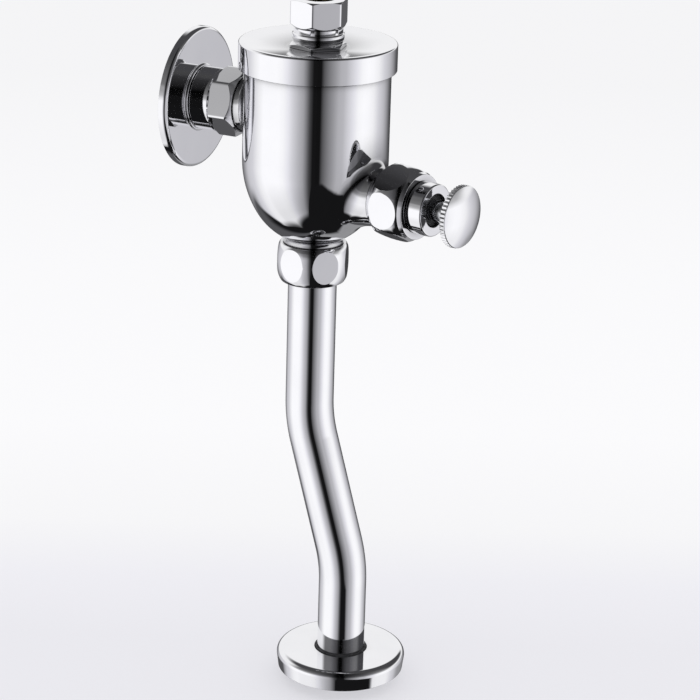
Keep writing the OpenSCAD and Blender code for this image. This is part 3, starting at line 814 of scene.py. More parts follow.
@dataclass
class Pot(Dresser):
    """Body of the valve with its cap and its two side bosses."""

    finish: Finish = POT_CHROME
    wall_r: float = 28.1
    wall_t: float = 4.1
    flank_z: float = -17.7
    flank_r: float = 40.0
    bottom_r: float = 26.0
    neck_r: float = 27.0
    neck_ledge: float = 4.0
    neck_drop: float = 2.0
    top_z: float = 21.3
    shoulder_z: float = 17.6
    cap_r: float = 30.2
    cap_top: float = 28.3
    cap_low: float = 17.8
    cap_dish_r: float = 28.4
    cap_seat_r: float = 12.17
    cap_round: float = 1.3
    cap_under_z: float = 22.8
    cap_bore_r: float = 27.2
    spigot_r: float = 8.05
    low_neck_r: float = 11.8
    low_neck_z: float = -50.3
    low_fillet: float = 3.0
    stub_r: float = 11.0
    stub_z: float = -57.0
    button_boss: Boss = Boss(11.2, flare_end=31.7, front=32.9, nose_r=10.5, end=39.2, bore_r=8.5)
    inlet_boss: Boss = Boss(10.48, flare_end=29.4, front=30.4, nose_r=10.46, end=36.2, bore_r=8.0)
    count: int = 192
    boss_count: int = 96
    outer_points: int = 20
    inner_points: int = 10
    fillet_points: int = 8

    def bottom_z(self) -> float:
        """Height of the round bottom's centre."""
        rise = (self.flank_r - self.bottom_r) ** 2 - (self.wall_r - self.flank_r) ** 2
        return self.flank_z - math.sqrt(rise)

    def joint_angle(self) -> float:
        """Angle below level at which the flank arc meets the round bottom, in degrees."""
        drop = self.flank_z - self.bottom_z()
        return math.degrees(math.asin(drop / (self.flank_r - self.bottom_r)))

    def surface(self, z: float) -> float:
        """Outer radius of the pot at a height.

        Args:
            z: height in mm.

        Returns:
            The radius in mm.
        """
        if z >= self.flank_z:
            return self.wall_r
        joint_z = self.flank_z - self.flank_r * math.sin(math.radians(self.joint_angle()))
        if z >= joint_z:
            drop = self.flank_r**2 - (z - self.flank_z) ** 2
            return self.wall_r - self.flank_r + math.sqrt(drop)
        return math.sqrt(max(self.bottom_r**2 - (z - self.bottom_z()) ** 2, 0.0))

    def pot_arcs(self, inset: float, last: float, count: int) -> list[Corner]:
        """Flank arc and round bottom, downward.

        Args:
            inset: distance inside the outer face.
            last: angle below level at which the bottom arc stops, in degrees.
            count: points on each arc.

        Returns:
            The corners.
        """
        joint = self.joint_angle()
        flank = arc(
            (self.wall_r - self.flank_r, self.flank_z), self.flank_r - inset, 0, -joint, count
        )
        bottom = arc((0, self.bottom_z()), self.bottom_r - inset, -joint, -last, 2 * count)
        return flank + bottom[1:]

    def build_body(self) -> None:
        """Makes the pot-shaped wall from neck to outlet stub."""
        reach = self.bottom_r + self.low_fillet
        hub_r = self.low_neck_r + self.low_fillet
        last = math.degrees(math.acos(hub_r / reach))
        hub = (hub_r, self.bottom_z() - math.sqrt(reach**2 - hub_r**2))
        fillet = arc(hub, self.low_fillet, 180 - last, 180, self.fillet_points)
        last_in = math.degrees(math.acos(PIPE_HOLE_R / (self.bottom_r - self.wall_t)))
        outer = self.pot_arcs(0, last, self.outer_points)
        inner = self.pot_arcs(self.wall_t, last_in, self.inner_points)
        mouth_r = self.neck_r - self.neck_ledge
        ledge_z = self.top_z - self.neck_drop
        corners: list[Corner] = [
            (mouth_r, self.top_z, 0.1),
            (self.neck_r, self.top_z, 0.2),
            (self.neck_r, self.shoulder_z, 0.1),
            (self.wall_r, self.shoulder_z, 0.35),
            *outer,
            *fillet[1:],
            (self.low_neck_r, self.low_neck_z, 0.1),
            (self.stub_r, self.low_neck_z, 0.1),
            (self.stub_r, self.stub_z, 0.2),
            (PIPE_HOLE_R, self.stub_z, 0.1),
            *inner[::-1],
            (self.wall_r - self.wall_t, ledge_z, 0.1),
            (mouth_r, ledge_z, 0.1),
        ]
        piece = turned("pot_wall", axis_place(BODY_AXIS_Y), self.count, corners)
        self.dress(piece, "body_shell")

    def build_cap(self) -> None:
        """Makes the screwed cap with its shallow dished top."""
        corners: list[Corner] = [
            (self.cap_bore_r, self.cap_low, 0.25),
            (self.cap_r, self.cap_low, 0.3),
            (self.cap_r, self.cap_top, self.cap_round),
            (self.cap_dish_r, self.cap_top, 0.6),
            (self.cap_seat_r, CAP_FLOOR_Z, 1.5),
            (self.spigot_r, CAP_FLOOR_Z, 0.15),
            (self.spigot_r, self.cap_under_z, 0.15),
            (self.cap_bore_r, self.cap_under_z, 0.4),
        ]
        piece = turned("cap_dress", axis_place(BODY_AXIS_Y), self.count, corners, steps=7)
        self.dress(piece, "cap")

    def root(self, angle: float, boss: Boss, drop: float) -> list[Point]:
        """Hollow arc by which a side boss runs out on the pot, in one plane.

        Args:
            angle: direction round the boss's axis, in degrees from level.
            boss: the boss.
            drop: height of the boss's axis.

        Returns:
            Points from just under the pot's face to the boss.
        """
        across, up = math.cos(math.radians(angle)), math.sin(math.radians(angle))

        def depth(r: float) -> float:
            """Square of the pot's reach along the boss, beside its axis."""
            return self.surface(drop + r * up) ** 2 - (r * across) ** 2

        def flare_centre(flare: float) -> Vector:
            """Centre of a hollow arc that is tangent to the boss."""
            return Vector((boss.radius + flare, boss.flare_end))

        radii = [boss.radius * FACE_START + k * FACE_STEP for k in range(FACE_COUNT)]
        face = [Vector((r, math.sqrt(depth(r)))) for r in radii if depth(r) > 0]

        def is_clear(flare: float) -> bool:
            """Whether the hollow arc stays clear of the pot's face."""
            return min((spot - flare_centre(flare)).length for spot in face) > flare

        flare = last_held(0.0, WIDEST_FLARE, is_clear)
        centre = flare_centre(flare)
        touch = min(face, key=lambda spot: (spot - centre).length)
        turn = math.atan2(centre.y - touch.y, centre.x - touch.x)
        points = [(touch.x + out, math.sqrt(depth(touch.x + out)) - under) for out, under in RUN_OUT]
        for k in range(FLARE_POINTS):
            a = turn * (1 - k / (FLARE_POINTS - 1))
            points.append((centre.x - flare * math.cos(a), centre.y - flare * math.sin(a)))
        return points

    def build_boss(self, name: str, place: Matrix, drop: float, boss: Boss) -> None:
        """Makes one side boss that flares into the pot.

        Args:
            name: the piece's name.
            place: axis of the boss.
            drop: height of the axis.
            boss: its sizes.
        """

        def section(angle: float) -> list[Point]:
            """Root arc, nose and bore of one column.

            Args:
                angle: column angle in degrees.

            Returns:
                The points.
            """
            root = self.root(angle, boss, drop)
            r, reach = root[0]
            back = reach - boss.back_drop
            corners = [
                (boss.radius, boss.flare_end, 0),
                (boss.radius, boss.front, 0.15),
                (boss.nose_r, boss.front + boss.nose_slant, 0.1),
                (boss.nose_r, boss.end, 0.2),
                (boss.bore_r, boss.end, 0.1),
                (boss.bore_r, back, 0),
            ]
            return root[:-1] + rounded(corners, closed=False) + [(r - boss.back_step, back)]

        self.dress(spin(name, place, even_turns(self.boss_count), section), "body_shell")

    def build(self) -> None:
        """Makes every piece of the pot."""
        self.build_body()
        self.build_cap()
        self.build_boss("button_boss", button_place(), BUTTON_AXIS_Z, self.button_boss)
        self.build_boss("inlet_boss", inlet_place(), 0.0, self.inlet_boss)


@dataclass
class Regulator(Dresser):
    """Six-sided housing of the flow regulator on the cap."""

    flats: Hexagon = Hexagon(19.7, 43.4)
    foot_h: float = 1.9
    bead_low: float = 2.7
    bead_high: float = 5.7
    grip_low: float = 7.7
    grip_full: float = 9.4
    height: float = 18.3
    core_r: float = 9.5
    bead_r: float = 10.1
    bead_foot_r: float = 9.92
    bead_foot_h: float = 0.45
    chamfer: float = 0.6
    brim: float = 0.05
    brim_inset: float = 0.02
    socket_r: float = 5.72
    socket_floor: float = 8.7
    guide_r: float = 3.05
    plug_r: float = 5.0
    guide_top: float = 2.7
    spigot_r: float = 8.0
    spigot_low: float = 14.2

    def section(self, angle: float) -> list[Point]:
        """One column: foot, bead, grip with two chamfers, socket.

        Args:
            angle: column angle in degrees.

        Returns:
            The points.
        """
        side = self.flats.reach(angle)
        corner = self.flats.corner_r()
        share = self.flats.share(angle, self.core_r)
        z = CAP_FLOOR_Z
        foot_edge = z + self.foot_h - share * self.foot_h / 2
        grip_edge = z + self.grip_low + share * (self.grip_full - self.grip_low)
        top_edge = z + self.height - self.chamfer + (corner - side) / 2
        top_r = min(side, corner - 2 * self.chamfer) - self.brim_inset
        top_edge = min(top_edge, z + self.height - self.brim)
        bead = (self.bead_low + self.bead_high) / 2
        corners: list[Corner] = [
            (self.spigot_r, z, 0.05),
            (side, z, 0.15),
            (side, foot_edge, 0.25),
            (self.core_r, z + self.foot_h, 0.2),
            (self.core_r, z + self.bead_low, 0.25),
            (self.bead_foot_r, z + self.bead_low + self.bead_foot_h, 0.5),
            (self.bead_r, z + bead, 1.2),
            (self.bead_foot_r, z + self.bead_high - self.bead_foot_h, 0.5),
            (self.core_r, z + self.bead_high, 0.25),
            (self.core_r, z + self.grip_low, 0.3),
            (side, grip_edge, 0.3),
            (side, top_edge, 0.2),
            (top_r, z + self.height, 0.15),
            (self.socket_r, z + self.height, 0.3),
            (self.socket_r, z + self.socket_floor, 0.2),
            (self.guide_r, z + self.socket_floor, 0.1),
            (self.guide_r, z + self.guide_top, 0.1),
            (self.plug_r, z + self.guide_top, 0.1),
            (self.plug_r, self.spigot_low, 0.1),
            (self.spigot_r, self.spigot_low, 0.2),
        ]
        return rounded(corners, closed=True, steps=4)

    def build(self) -> None:
        """Makes the housing."""
        piece = spin("regulator_dress", axis_place(BODY_AXIS_Y), self.flats.turns(), self.section)
        self.dress(piece, "bonnet")


@dataclass
class Inlet(Dresser):
    """Coupling and wall plate; their reaches count from the body's axis."""

    finish: Finish = PLATE_CHROME
    flats: Hexagon = Hexagon(23.4, 74.0)
    front: float = 31.0
    front_w: float = 0.6
    bore_r: float = 10.6
    water_r: float = 8.0
    chamfer_end: float = 33.3
    skirt: float = 41.0
    skirt_r: float = 12.3
    skirt_blend: float = 0.25
    skirt_slope: float = 0.5
    back: float = 49.0
    step: float = 37.0
    seat: float = 42.0
    plate_r: float = 27.5
    plate_face: float = 50.3
    wall: float = -BODY_AXIS_Y
    lip_r: float = 13.0
    lip_front: float = 49.3
    hole_r: float = 10.88
    sheet: float = 0.9
    edge: float = 2.45
    count: int = 192

    def coupling_section(self, angle: float) -> list[Point]:
        """One column of the coupling.

        Args:
            angle: column angle in degrees.

        Returns:
            The points.
        """
        side = self.flats.reach(angle)
        front_r = self.bore_r + self.front_w
        share = self.flats.share(angle, front_r)
        edge = self.front + share * (self.chamfer_end - self.front)
        overhang = max(side - self.skirt_r, 0.0)
        step = self.skirt - self.skirt_blend - overhang * self.skirt_slope
        corners: list[Corner] = [
            (self.bore_r, self.front, 0.1),
            (front_r, self.front, 0.15),
            (side, edge, 0.3),
            (side, step, 0.25),
            (self.skirt_r, self.skirt + self.skirt_blend, 0.25),
            (self.skirt_r, self.back, 0.4),
            (self.bore_r, self.back, 0.2),
            (self.bore_r, self.seat, 0.1),
            (self.water_r, self.seat, 0.1),
            (self.water_r, self.step, 0.1),
            (self.bore_r, self.step, 0.1),
        ]
        return rounded(corners, closed=True, steps=4)

    def build(self) -> None:
        """Makes the coupling and the wall plate."""
        piece = spin("coupling_dress", inlet_place(), self.flats.turns(), self.coupling_section)
        self.dress(piece, "inlet_coupling")
        inner = self.plate_face + self.sheet
        corners: list[Corner] = [
            (self.hole_r, self.lip_front, 0.15),
            (self.lip_r, self.lip_front, 0.5),
            (self.lip_r, self.plate_face, 0.35),
            (self.plate_r, self.plate_face, self.edge),
            (self.plate_r, self.wall, 0.15),
            (self.plate_r - self.sheet, self.wall, 0.15),
            (self.plate_r - self.sheet, inner, self.edge - self.sheet),
            (self.hole_r, inner, 0.15),
        ]
        plate = turned("wall_plate_dress", inlet_place(), self.count, corners, steps=12)
        self.dress(plate, "wall_escutcheon")


@dataclass
class Outlet(Dresser):
    """Union nut, flush pipe and spud flange."""

    finish: Finish = PIPE_CHROME
    nut: Barrel = Barrel(
        14.3, 21.5, middle=-57.638, low=-65.9, high=-50.6, low_r=12.4, high_r=12.8,
        flats=Hexagon(26.5, 48.3),
    )
    nut_count: int = 288
    nut_lip: float = 3.4
    nut_thread_r: float = 11.1
    pipe_r: float = 9.5
    pipe_wall: float = 1.0
    pipe_top: float = -50.0
    pipe_chamfer: float = 0.25
    pipe_count: int = 96
    top_steps: int = 9
    bend_steps: int = 24
    slope_steps: int = 5
    low_steps: int = 6
    bend_r: float = 60.0
    bend_angle: float = 16.0
    bend_z: float = -123.5
    offset: float = 16.8
    end_h: float = 5.0
    end_step: float = 0.2
    flange_top: float = -219.3
    flange_low: float = -227.3
    flange_r: float = 25.8
    flange_foot_r: float = 25.1
    flange_round: float = 2.6
    flange_hole_r: float = 10.4
    sheet: float = 0.9
    count: int = 192
    outer_points: int = 16
    inner_points: int = 12

    def build_nut(self) -> None:
        """Makes the union nut under the body."""

        def section(angle: float) -> list[Point]:
            """Outer face, top face, thread and lower lip of one column.

            Args:
                angle: column angle in degrees.

            Returns:
                The points.
            """
            outer = self.nut.column(angle)
            low_r, low_z, _ = outer[0]
            high_r, high_z, _ = outer[-1]
            corners = [
                (PIPE_HOLE_R, low_z, 0.3),
                (low_r, low_z, 0.25),
                *outer[1:-1],
                (high_r, high_z, 0.25),
                (self.nut_thread_r, high_z, 0.2),
                (self.nut_thread_r, low_z + self.nut_lip, 0.1),
                (PIPE_HOLE_R, low_z + self.nut_lip, 0.1),
            ]
            return rounded(corners, closed=True, steps=4)

        turns = even_turns(self.nut_count, self.nut.flats.turn)
        piece = spin("outlet_nut_dress", axis_place(BODY_AXIS_Y), turns, section)
        self.dress(piece, "outlet_nut")

    def pipe_stations(self) -> list[tuple[Vector, Vector]]:
        """Centre line of the flush pipe, from the top down.

        Returns:
            Place and direction of each station, in mm.
        """
        bend = math.radians(self.bend_angle)
        tangent = self.bend_r * math.tan(bend / 2)
        down = Vector((0, 0, -1))
        slope = Vector((0, -math.sin(bend), -math.cos(bend)))
        low_y = BODY_AXIS_Y - self.offset
        first_z = self.bend_z + tangent
        second_z = self.bend_z - self.offset / math.tan(bend) - tangent
        stations = []
        for k in range(self.top_steps):
            z = self.pipe_top + (first_z - self.pipe_top) * k / self.top_steps
            stations.append((Vector((0, BODY_AXIS_Y, z)), down))
        for k in range(self.bend_steps + 1):
            a = bend * k / self.bend_steps
            spot = Vector((0, math.cos(a), -math.sin(a))) * self.bend_r
            place = Vector((0, BODY_AXIS_Y - self.bend_r, first_z)) + spot
            stations.append((place, Vector((0, -math.sin(a), -math.cos(a)))))
        start = stations[-1][0]
        pitch = (self.offset / math.sin(bend) - 2 * tangent) / self.slope_steps
        stations += [(start + slope * pitch * k, slope) for k in range(1, self.slope_steps)]
        for k in range(self.bend_steps + 1):
            a = bend * (1 - k / self.bend_steps)
            spot = Vector((0, -math.cos(a), math.sin(a))) * self.bend_r
            place = Vector((0, low_y + self.bend_r, second_z)) + spot
            stations.append((place, Vector((0, -math.sin(a), -math.cos(a)))))
        for k in range(1, self.low_steps + 1):
            z = second_z + (PIPE_LOW_Z + self.end_h - second_z) * k / self.low_steps
            stations.append((Vector((0, low_y, z)), down))
        stations.append((Vector((0, low_y, PIPE_LOW_Z)), down))
        return stations

    def build_pipe(self) -> None:
        """Sweeps the pipe's wall along its centre line."""
        stations = self.pipe_stations()
        top, low = stations[0][0], stations[-1][0]
        down = stations[0][1]
        chamfer = self.pipe_chamfer
        below = down * chamfer
        thin = self.pipe_r - self.end_step
        bore = self.pipe_r - self.pipe_wall
        rings = [
            (top, down, self.pipe_r - chamfer),
            (top + below, down, self.pipe_r),
            *((place, along, self.pipe_r) for place, along in stations[1:-1]),
            (stations[-2][0] + below, down, thin),
            (low - below, down, thin),
            (low, down, thin - chamfer),
            (low, down, bore),
            *((place, along, bore) for place, along in stations[-2:0:-1]),
            (top, down, bore),
        ]
        count = self.pipe_count
        across = Vector((1, 0, 0))
        places: list[Vector] = []
        for centre, along, radius in rings:
            other = along.cross(across).normalized()
            for turn in even_turns(count):
                a = math.radians(turn)
                spoke = across * math.cos(a) + other * math.sin(a)
                places.append((centre + spoke * radius) * MM)
        faces = []
        for i in range(len(rings)):
            here, ahead = i * count, (i + 1) % len(rings) * count
            for k in range(count):
                beside = (k + 1) % count
                faces.append((here + k, here + beside, ahead + beside, ahead + k))
        self.dress(make_mesh("flush_pipe_dress", places, faces), "flush_pipe")

    def build_flange(self) -> None:
        """Makes the pressed spud flange."""
        hub = (self.flange_r - self.flange_round, self.flange_top - self.flange_round)
        slant = math.atan2(self.flange_r - self.flange_foot_r, hub[1] - self.flange_low)
        last = -math.degrees(slant)
        outer_arc = arc(hub, self.flange_round, 90, last, self.outer_points)
        inner_arc = arc(hub, self.flange_round - self.sheet, last, 90, self.inner_points)
        corners: list[Corner] = [
            (self.flange_hole_r, self.flange_top - self.sheet, 0.1),
            (self.flange_hole_r, self.flange_top, 0.4),
            *outer_arc,
            (self.flange_foot_r, self.flange_low, 0.2),
            (self.flange_foot_r - self.sheet, self.flange_low, 0.2),
            *inner_arc,
        ]
        place = axis_place(BODY_AXIS_Y - self.offset)
        piece = turned("spud_flange_dress", place, self.count, corners, steps=6)
        self.dress(piece, "spud_flange")

    def build(self) -> None:
        """Makes every piece of the outlet."""
        self.build_nut()
        self.build_pipe()
        self.build_flange()


@dataclass
class Button(Dresser):
    """Union nut, front collar and knurled button."""

    nut: Barrel = Barrel(
        15.0, 15.5, middle=41.0, low=33.2, high=48.4, low_r=11.5, high_r=13.0,
        flats=Hexagon(26.5, 62.0),
    )
    nut_count: int = 288
    nut_front: float = 50.0
    nut_front_r: float = 12.4
    nut_thread_r: float = 10.6
    thread_end: float = 43.5
    nut_hole_r: float = 8.3
    collar_r: float = 10.0
    collar_back: float = 50.3
    collar_front: float = 57.0
    tube_r: float = 7.95
    tube_end: float = 53.6
    collar_count: int = 144
    mouth_r: float = 6.35
    disc_r: float = 11.9
    disc_back: float = 66.5
    disc_rim: float = 2.5
    dome_r: float = 28.4
    thread_r: float = 3.05
    thread_h: float = 3.0
    serrations: int = 48
    groove: float = 0.5
    groove_columns: int = 8
    back_inset: float = 0.9
    crown_inset: float = 0.12
    crown_drop: float = 0.08
    crown_points: int = 13
    back_bevel: float = 0.35
    rim_bevel: float = 0.3

    def build_nut(self) -> None:
        """Makes the union nut behind the button."""

        def section(angle: float) -> list[Point]:
            """Outer face, bevelled front, hole and thread of one column.

            Args:
                angle: column angle in degrees.

            Returns:
                The points.
            """
            outer = self.nut.column(angle)
            low_r, low_z, _ = outer[0]
            high_r, high_z, _ = outer[-1]
            corners = [
                (self.nut_thread_r, low_z, 0.2),
                (low_r, low_z, 0.2),
                *outer[1:-1],
                (high_r, high_z, 0.3),
                (self.nut_front_r, self.nut_front, 0.3),
                (self.nut_hole_r, self.nut_front, 0.2),
                (self.nut_hole_r, self.thread_end, 0.1),
                (self.nut_thread_r, self.thread_end, 0.1),
            ]
            return rounded(corners, closed=True, steps=4)

        turns = even_turns(self.nut_count, self.nut.flats.turn)
        piece = spin("button_nut_dress", button_place(), turns, section)
        self.dress(piece, "button_nut")

    def build_collar(self) -> None:
        """Makes the smooth collar in front of the nut."""
        corners: list[Corner] = [
            (self.tube_r, self.collar_back, 0.1),
            (self.collar_r, self.collar_back, 0.3),
            (self.collar_r, self.collar_front, 0.7),
            (self.mouth_r, self.collar_front, 0.4),
            (self.mouth_r, self.tube_end, 0.1),
            (self.tube_r, self.tube_end, 0.1),
        ]
        piece = turned("front_collar_dress", button_place(), self.collar_count, corners)
        self.dress(piece, "front_collar")

    def build_disc(self) -> None:
        """Makes the domed button with its straight-knurled rim."""
        rim_top = self.disc_back + self.disc_rim
        sag = self.dome_r - math.sqrt(self.dome_r**2 - self.disc_r**2)
        centre_z = rim_top + sag - self.dome_r
        crown = self.disc_r - self.crown_inset

        def dome(r: float) -> float:
            """Height of the dome at a radius."""
            return centre_z + math.sqrt(self.dome_r**2 - r * r)

        def section(angle: float) -> list[Point]:
            """Threaded hole, back, grooved rim and dome of one column.

            Args:
                angle: column angle in degrees.

            Returns:
                The points.
            """
            wave = abs((angle * self.serrations / 360) % 1 - 0.5) * 2
            rim = self.disc_r - self.groove * (1 + math.cos(math.pi * wave)) / 2
            quarter = [math.radians(90 * k / self.crown_points) for k in range(1, self.crown_points + 1)]
            radii = [crown * math.cos(a) for a in quarter]
            corners = [
                (0, self.disc_back + self.thread_h, 0),
                (self.thread_r, self.disc_back + self.thread_h, 0.1),
                (self.thread_r, self.disc_back, 0.15),
                (self.disc_r - self.back_inset, self.disc_back, 0.1),
                (rim, self.disc_back + self.back_bevel, 0.1),
                (rim, rim_top - self.rim_bevel, 0.1),
                (crown, dome(crown) - self.crown_drop, 0.15),
                *((r, dome(r), 0) for r in radii),
            ]
            return rounded(corners, closed=False, steps=3)

        turns = even_turns(self.serrations * self.groove_columns)
        piece = spin("button_disc_dress", button_place(), turns, section, closed=False)
        self.dress(piece, "button_disc")

    def build(self) -> None:
        """Makes every piece of the button unit."""
        self.build_nut()
        self.build_collar()
        self.build_disc()


class InnerWorks:
    """The CAD nodes; the inner pieces among them keep their own meshes."""

    def build(self) -> None:
        """Gives each CAD node the finish of its slot."""
        slots = {s["node"]: Slot(s["material_slot"]) for s in frame["record"]["subparts"]}
        for name, node in frame["nodes"].items():
            finish = FINISHES[slots[name]]
            node.data.materials.clear()
            node.data.materials.append(finish.material())
            log.info("%s: %s", name, finish.name)


# Studio


@dataclass(frozen=True)
class PhotoCamera:
    """Camera at the photograph's viewing angle."""

    azimuth: float = -63.352
    elevation: float = 18.807
    roll: float = 1.399
    distance: float = 1005.741
    lens: float = 132.34
    shift_x: float = 0.0549
    shift_y: float = -0.0472
    sensor: float = 36.0
    near: float = 0.01
    far: float = 50.0
    aim: Spot = (0.0, BODY_AXIS_Y, -81.67)

    def back(self) -> Vector:
        """Direction from the part to the camera."""
        a, e = math.radians(self.azimuth), math.radians(self.elevation)
        return Vector((math.sin(a) * math.cos(e), -math.cos(a) * math.cos(e), math.sin(e)))

    def level_back(self) -> Vector:
        """Level direction from the part towards the camera."""
        level = self.back()
        level.z = 0
        return level.normalized()

    def build(self) -> None:
        """Makes the camera and sets it as the scene's."""
        back = self.back()
        level = self.level_back()
        right = Vector((-level.y, level.x, 0))
        up = back.cross(right)
        roll = math.radians(self.roll)
        turned_right = right * math.cos(roll) + up * math.sin(roll)
        turned_up = up * math.cos(roll) - right * math.sin(roll)
        data = bpy.data.cameras.new("photo_camera")
        data.sensor_width = self.sensor
        data.lens = self.lens
        data.shift_x = self.shift_x
        data.shift_y = self.shift_y
        data.clip_start = self.near
        data.clip_end = self.far
        made = bpy.data.objects.new("photo_camera", data)
        basis = Matrix((turned_right, turned_up, back)).transposed().to_4x4()
        basis.translation = (Vector(self.aim) + back * self.distance) * MM
        made.matrix_world = basis
        bpy.context.scene.collection.objects.link(made)
        bpy.context.scene.camera = made
        log.info("camera at %s", tuple(round(v, 3) for v in made.location))


@dataclass
class Studio:
    """Light tent with a black strip and grey panels, and a pale floor.

    A wall gives the brightness at each angle away from the camera's direction. An edge gives a
    height, where 0.5 is level, at each angle from the picture's left, -180, to its right, 180.
    """

    camera: PhotoCamera = PhotoCamera()
    floor_z: float = PIPE_LOW_Z
    floor_r: float = 3600.0
    floor_sides: int = 64
    floor_grain: float = 900.0
    grain_detail: float = 2.0
    grain_low: float = 0.992
    # painted shade on the floor: brightness by depth towards the camera, darkest near and in front of
    # the part
    painted_floor_shades: tuple[Point, ...] = (
        (0.0, 0.92), (0.25, 0.965), (0.38, 0.975), (0.44, 0.94), (0.47, 0.885), (0.50, 0.85),
    )
    shadow_fill: float = 0.65
    backdrop: Colour = (0.955, 0.955, 0.959775)
    tint: Colour = (0.985, 0.98, 1.03)
    bright: float = 0.9
    bright_tint: float = 0.3
    left_wall: tuple[Point, ...] = (
        (0, 0.008), (5, 0.008), (10, 0.06), (12.4, 0.12), (20, 0.38), (28, 0.52), (36, 0.68),
        (44, 0.88), (52, 1.0), (61, 1.05), (91, 1.05), (102, 0.92), (116, 0.70), (133, 0.60),
        (150, 0.30), (162, 0.16), (180, 0.05),
    )
    right_wall: tuple[Point, ...] = (
        (0, 0.007), (6, 0.007), (10.5, 0.10), (18, 0.215), (26, 0.33), (34, 0.47), (42, 0.515),
        (50, 0.68), (59, 0.845), (68, 1.0), (78, 1.05), (88, 1.03), (99, 0.94), (112, 0.71),
        (128, 0.52), (151, 0.13), (165, 0.05), (180, 0.05),
    )
    front_fade: tuple[Point, ...] = (
        (0.1, 0.76), (0.15, 0.82), (0.3, 1.0), (0.5, 1.0), (0.54, 0.75), (0.57, 0.5), (0.62, 0.36),
        (0.665, 0.34), (0.70, 0.18), (0.93, 0.06),
    )
    front_back: Point = (0.45, 0.60)
    low_edge: tuple[Point, ...] = (
        (-180, 0.27), (-140, 0.25), (-119, 0.146), (-105, 0.067), (-60, 0.03), (-13, 0.067),
        (-5.4, 0.30), (11, 0.315), (22, 0.27), (33, 0.24), (51, 0.215), (62, 0.19), (80, 0.11),
        (135, 0.11), (155, 0.22), (180, 0.27),
    )
    low_dark: Colour = (0.008, 0.008, 0.0085)
    low_blend: Point = (-0.02, 0.02)
    high_edge: tuple[Point, ...] = (
        (-180, 0.79), (0, 0.79), (85, 0.60), (150, 0.60), (170, 0.79), (180, 0.79),
    )
    roof_light: Colour = (0.92, 0.92, 0.925)
    roof_dark: Colour = (0.06, 0.06, 0.064)
    roof_blend: Point = (-0.03, 0.09)
    wall_roof: Point = (-0.02, 0.10)
    under_left: Colour = (0.09, 0.09, 0.095)
    under_right: Colour = (0.30, 0.30, 0.31)
    under_depth: Point = (0.70, 0.77)
    under_behind: Point = (0.66, 0.8)

    def ramp(
        self, graph: Graph, value: Wire, stops: Iterable[Point], cool: bool = True
    ) -> Wire:
        """Grey ramp over a value.

        Args:
            graph: node tree.
            value: position on the ramp, 0 to 1.
            stops: place and brightness of each stop.
            cool: whether the greys lean to blue a little.

        Returns:
            The colour.
        """
        tinted = []
        for place, light in stops:
            share = (1.0 if light < self.bright else self.bright_tint) if cool else 0.0
            tinted.append((place, tuple(light * (1 + (t - 1) * share) for t in self.tint)))
        return graph.node("ShaderNodeValToRGB", {"stops": tinted}, {0: value}, "Color")

    def tent(self, graph: Graph, along: Wire, across: Wire, height: Wire) -> Wire:
        """Light that metal sees in a direction.

        Args:
            graph: node tree.
            along: share of the direction towards the camera.
            across: share towards the picture's right.
            height: share upward.

        Returns:
            The colour.
        """
        turn = graph.node("ShaderNodeMath", {"operation": "ARCTAN2"}, {0: across, 1: along})
        away = graph.node("ShaderNodeMath", {"operation": "ABSOLUTE"}, {0: turn}) * (1 / math.pi)
        rise = height * 0.5 + 0.5
        on_right = graph.node("ShaderNodeMath", {"operation": "GREATER_THAN"}, {0: across, 1: 0.0})
        left, right = (
            self.ramp(graph, away, ((degrees / 180, light) for degrees, light in stops))
            for stops in (self.left_wall, self.right_wall)
        )
        wall = graph.mix(on_right, left, right)
        front = graph.mix(1.0, wall, self.ramp(graph, rise, self.front_fade, False), "MULTIPLY")
        round_about = turn * (0.5 / math.pi) + 0.5
        low_edge, high_edge = (
            self.ramp(graph, round_about, ((d / 360 + 0.5, level) for d, level in stops), False)
            for stops in (self.low_edge, self.high_edge)
        )
        is_high = graph.step(rise - high_edge, self.roof_blend)
        roof = graph.mix(is_high, opaque(self.roof_light), opaque(self.roof_dark))
        back = graph.mix(graph.step(height, self.wall_roof), wall, roof)
        light = graph.mix(graph.step(away, self.front_back), front, back)
        is_lit = graph.step(rise - low_edge, self.low_blend)
        lit = graph.mix(is_lit, opaque(self.low_dark), light)
        under = graph.mix(on_right, opaque(self.under_left), opaque(self.under_right))
        is_under = graph.step(1.0 - rise, self.under_depth) * graph.step(away, self.under_behind)
        return graph.mix(is_under, lit, under)

    def build_world(self) -> None:
        """Lights the part with a tent that metal sees as strips and panels."""
        world = bpy.data.worlds.new("tent")
        bpy.context.scene.world = world
        world.use_nodes = True
        graph = Graph(world.node_tree)
        toward = self.camera.level_back()
        look = graph.node("ShaderNodeTexCoord", output="Generated")
        along = graph.along(look, toward)
        across = graph.along(look, Vector((-toward.y, toward.x, 0)))
        height = graph.node("ShaderNodeSeparateXYZ", {}, {0: look}, "Z")
        tent = self.tent(graph, along, across, height)
        glossy = graph.node("ShaderNodeLightPath", output="Is Glossy Ray")
        seen = graph.node("ShaderNodeLightPath", output="Is Camera Ray")
        page = graph.mix(seen, (1.0, 1.0, 1.0, 1.0), opaque(self.backdrop))
        light = graph.mix(glossy, page, tent)
        shader = graph.node("ShaderNodeBackground", {}, {"Color": light, "Strength": 1.0})
        graph.node("ShaderNodeOutputWorld", {}, {"Surface": shader})

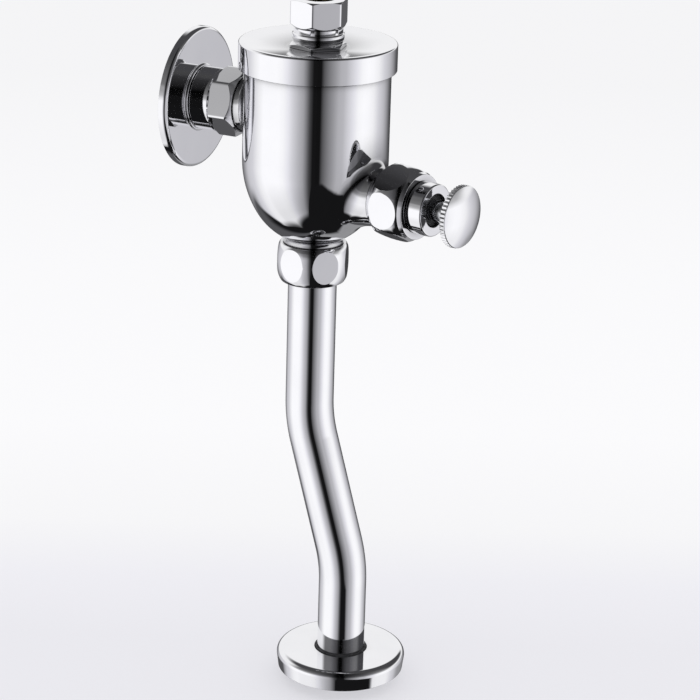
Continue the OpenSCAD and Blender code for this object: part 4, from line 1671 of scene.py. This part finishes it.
    def floor_material(self) -> bpy.types.Material:
        """Pale paper with painted shade, darker near and in front of the part, that mirrored rays pass
        through.

        Returns:
            The Blender material.
        """
        made = bpy.data.materials.new("pale_floor")
        made.use_nodes = True
        graph = Graph(made.node_tree)
        place = graph.node("ShaderNodeTexCoord", output="Object")
        depth = graph.along(place, self.camera.level_back())
        # Painted shade: the floor's colour darkens near and in front of the part; the grain below is the
        # paper's own
        shade = self.ramp(graph, depth * 0.5 + 0.5, self.painted_floor_shades)
        fibres = graph.noise(self.floor_grain, self.grain_detail)
        grain = graph.spread(fibres, self.grain_low, 1.0)
        paper_grain_and_painted_shade = graph.mix(1.0, shade, grain, "MULTIPLY")
        matt = graph.node("ShaderNodeBsdfDiffuse", {}, {"Color": paper_grain_and_painted_shade})
        glow = graph.node("ShaderNodeEmission", {}, {"Color": paper_grain_and_painted_shade})
        clear = graph.node("ShaderNodeBsdfTransparent")
        glossy = graph.node("ShaderNodeLightPath", output="Is Glossy Ray")
        seen = graph.node("ShaderNodeLightPath", output="Is Camera Ray")
        soft = graph.node("ShaderNodeMixShader", {}, {0: seen * self.shadow_fill, 1: matt, 2: glow})
        mixed = graph.node("ShaderNodeMixShader", {}, {0: glossy, 1: soft, 2: clear})
        graph.node("ShaderNodeOutputMaterial", {}, {"Surface": mixed})
        return made

    def build_floor(self) -> None:
        """Makes the round floor on which the pipe's end stands."""
        middle = Vector((0, BODY_AXIS_Y, self.floor_z)) * MM
        places = [middle]
        for turn in even_turns(self.floor_sides):
            a = math.radians(turn)
            places.append(middle + Vector((math.cos(a), math.sin(a), 0)) * self.floor_r * MM)
        faces = [(0, k + 1, (k + 1) % self.floor_sides + 1) for k in range(self.floor_sides)]
        mesh = bpy.data.meshes.new("floor")
        mesh.from_pydata([tuple(p) for p in places], [], faces)
        mesh.materials.append(self.floor_material())
        floor = bpy.data.objects.new("floor", mesh)
        bpy.context.scene.collection.objects.link(floor)

    def build(self) -> None:
        """Makes world, floor and camera, and sets the view."""
        bpy.context.scene.view_settings.view_transform = "Standard"
        self.build_world()
        self.build_floor()
        self.camera.build()


def main() -> None:
    logging.basicConfig(level=logging.INFO, format="%(name)s %(message)s")
    for assembly in (Pot(), Regulator(), Inlet(), Outlet(), Button(), InnerWorks()):
        assembly.build()
    Studio().build()


if __name__ == "__main__":
    main()
